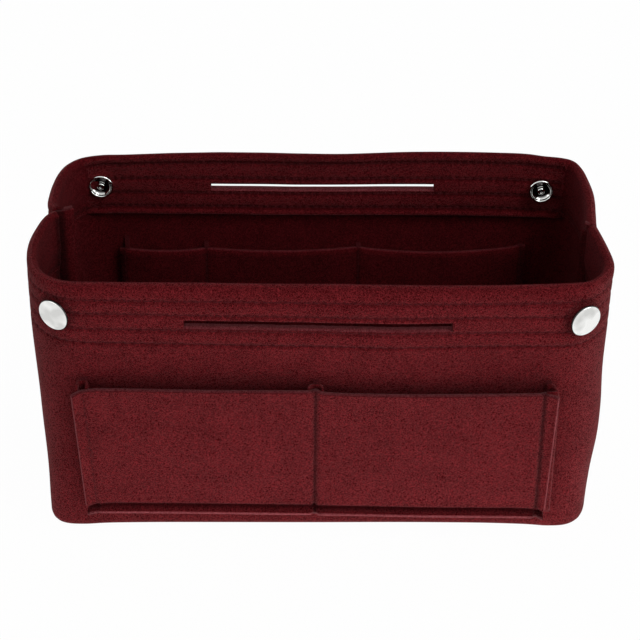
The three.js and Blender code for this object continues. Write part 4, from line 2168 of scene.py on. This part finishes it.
@dataclass
class Studio:
    """The pale floor, soft lights and camera of the photograph."""

    target: tuple[float, float, float] = (0.2, -0.5, 89.6)
    elevation: float = 36.06
    distance: float = 975.4
    roll: float = 0.62
    focal_px: float = 1934.6
    image_px: float = 640.0
    surround: float = 0.34
    light_target: tuple[float, float, float] = (0, 0, 0.09)

    def camera(self) -> None:
        """Makes the camera and gives it to the scene."""
        data = bpy.data.cameras.new("photo_camera")
        data.sensor_width = 36.0
        data.lens = data.sensor_width * self.focal_px / self.image_px
        camera = link_object("photo_camera", data)
        up = math.radians(self.elevation)
        away = Vector((0, -math.cos(up), math.sin(up)))
        camera.rotation_mode = "QUATERNION"
        camera.location = (Vector(self.target) + away * self.distance) * MM
        turn = Quaternion((0, 0, 1), math.radians(self.roll))
        camera.rotation_quaternion = (-away).to_track_quat("-Z", "Y") @ turn
        bpy.context.scene.camera = camera

    def seen(self, tree: bpy.types.NodeTree) -> bpy.types.NodeSocket:
        """Says whether a ray is one that shows the background: from the camera, a mirror or glass.

        Args:
            tree: The node tree to add to.

        Returns:
            A socket that is 1 for such a ray.
        """
        rays = add_node(tree, "ShaderNodeLightPath").outputs
        shown = rays["Is Camera Ray"]
        for ray in ("Is Glossy Ray", "Is Transmission Ray"):
            either = add_node(tree, "ShaderNodeMath", {0: shown, 1: rays[ray]}, operation="MAXIMUM")
            shown = either.outputs["Value"]
        return shown

    def world(self) -> None:
        """Makes the white surround, which lights the tub softly."""
        world = bpy.data.worlds.new("white_studio")
        bpy.context.scene.world = world
        world.use_nodes = True
        tree = world.node_tree
        tree.nodes.clear()
        soft, shown = (
            add_node(tree, "ShaderNodeBackground", {"Color": (1, 1, 1, 1), "Strength": strength})
            for strength in (self.surround, 1.0)
        )
        mixed = add_node(
            tree,
            "ShaderNodeMixShader",
            {0: self.seen(tree), 1: soft.outputs["Background"], 2: shown.outputs["Background"]},
        )
        add_node(tree, "ShaderNodeOutputWorld", {"Surface": mixed.outputs["Shader"]})

    def floor(self) -> None:
        """Makes the white floor, which keeps a faint shadow and throws light up round the tub."""
        material, tree = new_tree("white_paper_floor")
        paper = add_node(tree, "ShaderNodeBsdfDiffuse", {"Color": linear("f4f4f2")}).outputs["BSDF"]
        spot = add_node(tree, "ShaderNodeTexCoord").outputs["Object"]
        away = add_node(
            tree, "ShaderNodeVectorMath", {0: spot, 1: (0.07, -0.16, 0.0)}, operation="SUBTRACT"
        ).outputs["Vector"]
        far = add_node(tree, "ShaderNodeVectorMath", {0: away}, operation="LENGTH")
        pool = add_node(
            tree,
            "ShaderNodeMapRange",
            {
                "Value": far.outputs["Value"],
                "From Min": 0.1,
                "From Max": 0.42,
                "To Min": 1.25,
                "To Max": 0.1,
            },
            interpolation_type="SMOOTHSTEP",
        )
        bounce, glow = (
            add_node(
                tree, "ShaderNodeEmission", {"Color": (1, 1, 1, 1), "Strength": strength}
            ).outputs["Emission"]
            for strength in (pool.outputs["Result"], 1.0)
        )
        lit = add_node(tree, "ShaderNodeAddShader", {0: paper, 1: bounce})
        pale = add_node(tree, "ShaderNodeMixShader", {0: 0.98, 1: paper, 2: glow})
        mixed = add_node(
            tree,
            "ShaderNodeMixShader",
            {0: self.seen(tree), 1: lit.outputs["Shader"], 2: pale.outputs["Shader"]},
        )
        add_node(tree, "ShaderNodeOutputMaterial", {"Surface": mixed.outputs["Shader"]})
        work = bmesh.new()
        bmesh.ops.create_circle(work, cap_ends=True, segments=64, radius=6.0)
        mesh = bpy.data.meshes.new("paper_floor")
        work.to_mesh(mesh)
        work.free()
        mesh.materials.append(material)
        link_object("paper_floor", mesh)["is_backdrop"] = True

    def lights(self) -> None:
        """Makes the soft lights: one low on each side, one high on the right and one behind."""
        for name, place, size, power in (
            ("side_softbox", (1.5, -0.9, 0.45), 0.8, 6.0),
            ("left_softbox", (-1.4, -0.9, 0.45), 0.8, 2.0),
            ("top_softbox", (0.8, -0.6, 1.5), 0.8, 9.0),
            ("back_softbox", (-0.7, 1.6, 0.45), 0.9, 5.0),
        ):
            data = bpy.data.lights.new(name, "AREA")
            data.shape = "DISK"
            data.size = size
            data.energy = power
            lamp = link_object(name, data)
            lamp.location = place
            lamp.rotation_mode = "QUATERNION"
            aim = Vector(self.light_target) - Vector(place)
            lamp.rotation_quaternion = aim.to_track_quat("-Z", "Y")

    def build(self) -> None:
        """Builds the whole studio."""
        bpy.context.scene.view_settings.view_transform = "Standard"
        self.camera()
        self.world()
        self.floor()
        self.lights()


def build_tub(finishes: Finishes, lines: dict[Side, PlanLine]) -> list[bpy.types.Object]:
    """Builds the tub's walls, hems, floor and end seams.

    Args:
        finishes: The tub's finishes.
        lines: The plan of each half.

    Returns:
        The pieces.
    """
    made = []
    for side, line in lines.items():
        word = side.name.lower()
        nodes = (f"{word}_panel", f"{word}_hem_bend", f"left_{word}_end", f"right_{word}_end")
        wall = FeltWall(side, line, finishes, f"{word}_wall", nodes)
        hem = FoldedHem(side, line, finishes, f"{word}_band", *STUD_HEADS[side])
        sleeve = hem.build()
        rows = [hem.build_stitches(row) for row in range(1, len(STITCH_HEIGHTS[side]) + 1)]
        sheet = wall.build()
        foot = wall.build_foot()
        made += [sheet, foot, sleeve, *rows]
    floor = FloorSheet(lines[Side.FRONT], lines[Side.BACK], finishes).build()
    made.append(floor)
    # For each end seam: its end, its plan row, the standing edges' X and top, and their flat width.
    seams = (
        (End.LEFT, FRONT_PLAN[0], 121.8, 149.4, 0.019),
        (End.RIGHT, FRONT_PLAN[-1], 128.6, 146.0, 0.012),
    )
    for end, row, edge, top, wide in seams:
        seam = SeamEdges(end, finishes, row[:2], row[2:4], edge, top)
        edges, tack = seam.build(), seam.build_tack()
        made += [edges, tack]
    return made


def build_pockets(finishes: Finishes, wall: PlanLine) -> list[bpy.types.Object]:
    """Builds both pockets.

    Args:
        finishes: The tub's finishes.
        wall: The plan of the front half.

    Returns:
        The pieces.
    """
    front = FrontPocket(finishes, wall)
    face, folds = front.build_face(), front.build_folds()
    details = [*front.build_stitches(), *front.build_tacks()]
    inner = InnerPocket(finishes)
    sheet = inner.build()
    sewn = [inner.build_stitches(), *inner.build_tacks()]
    return [face, folds, *details, sheet, *sewn]


def main() -> None:
    """Loads the frame, dresses it and works out both boxes."""
    logging.basicConfig(level=logging.INFO, format="%(message)s")
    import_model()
    cad_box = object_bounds()
    Studio().build()
    finishes = Finishes.build()
    lines = {
        Side.FRONT: PlanLine(Side.FRONT, FRONT_PLAN, 1.15),
        Side.BACK: PlanLine(Side.BACK, BACK_PLAN, 1.05),
    }
    made = build_tub(finishes, lines) + build_pockets(finishes, lines[Side.FRONT])
    for end in End:
        made += PressStud(end, finishes).build()
    for piece in made:
        LOG.info("%s: %d points", piece.name, len(piece.data.vertices))
    boxes = {"cad": cad_box, "visual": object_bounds()}
    json.dumps({name: [list(corner) for corner in box] for name, box in boxes.items()})


if __name__ == "__main__":
    main()
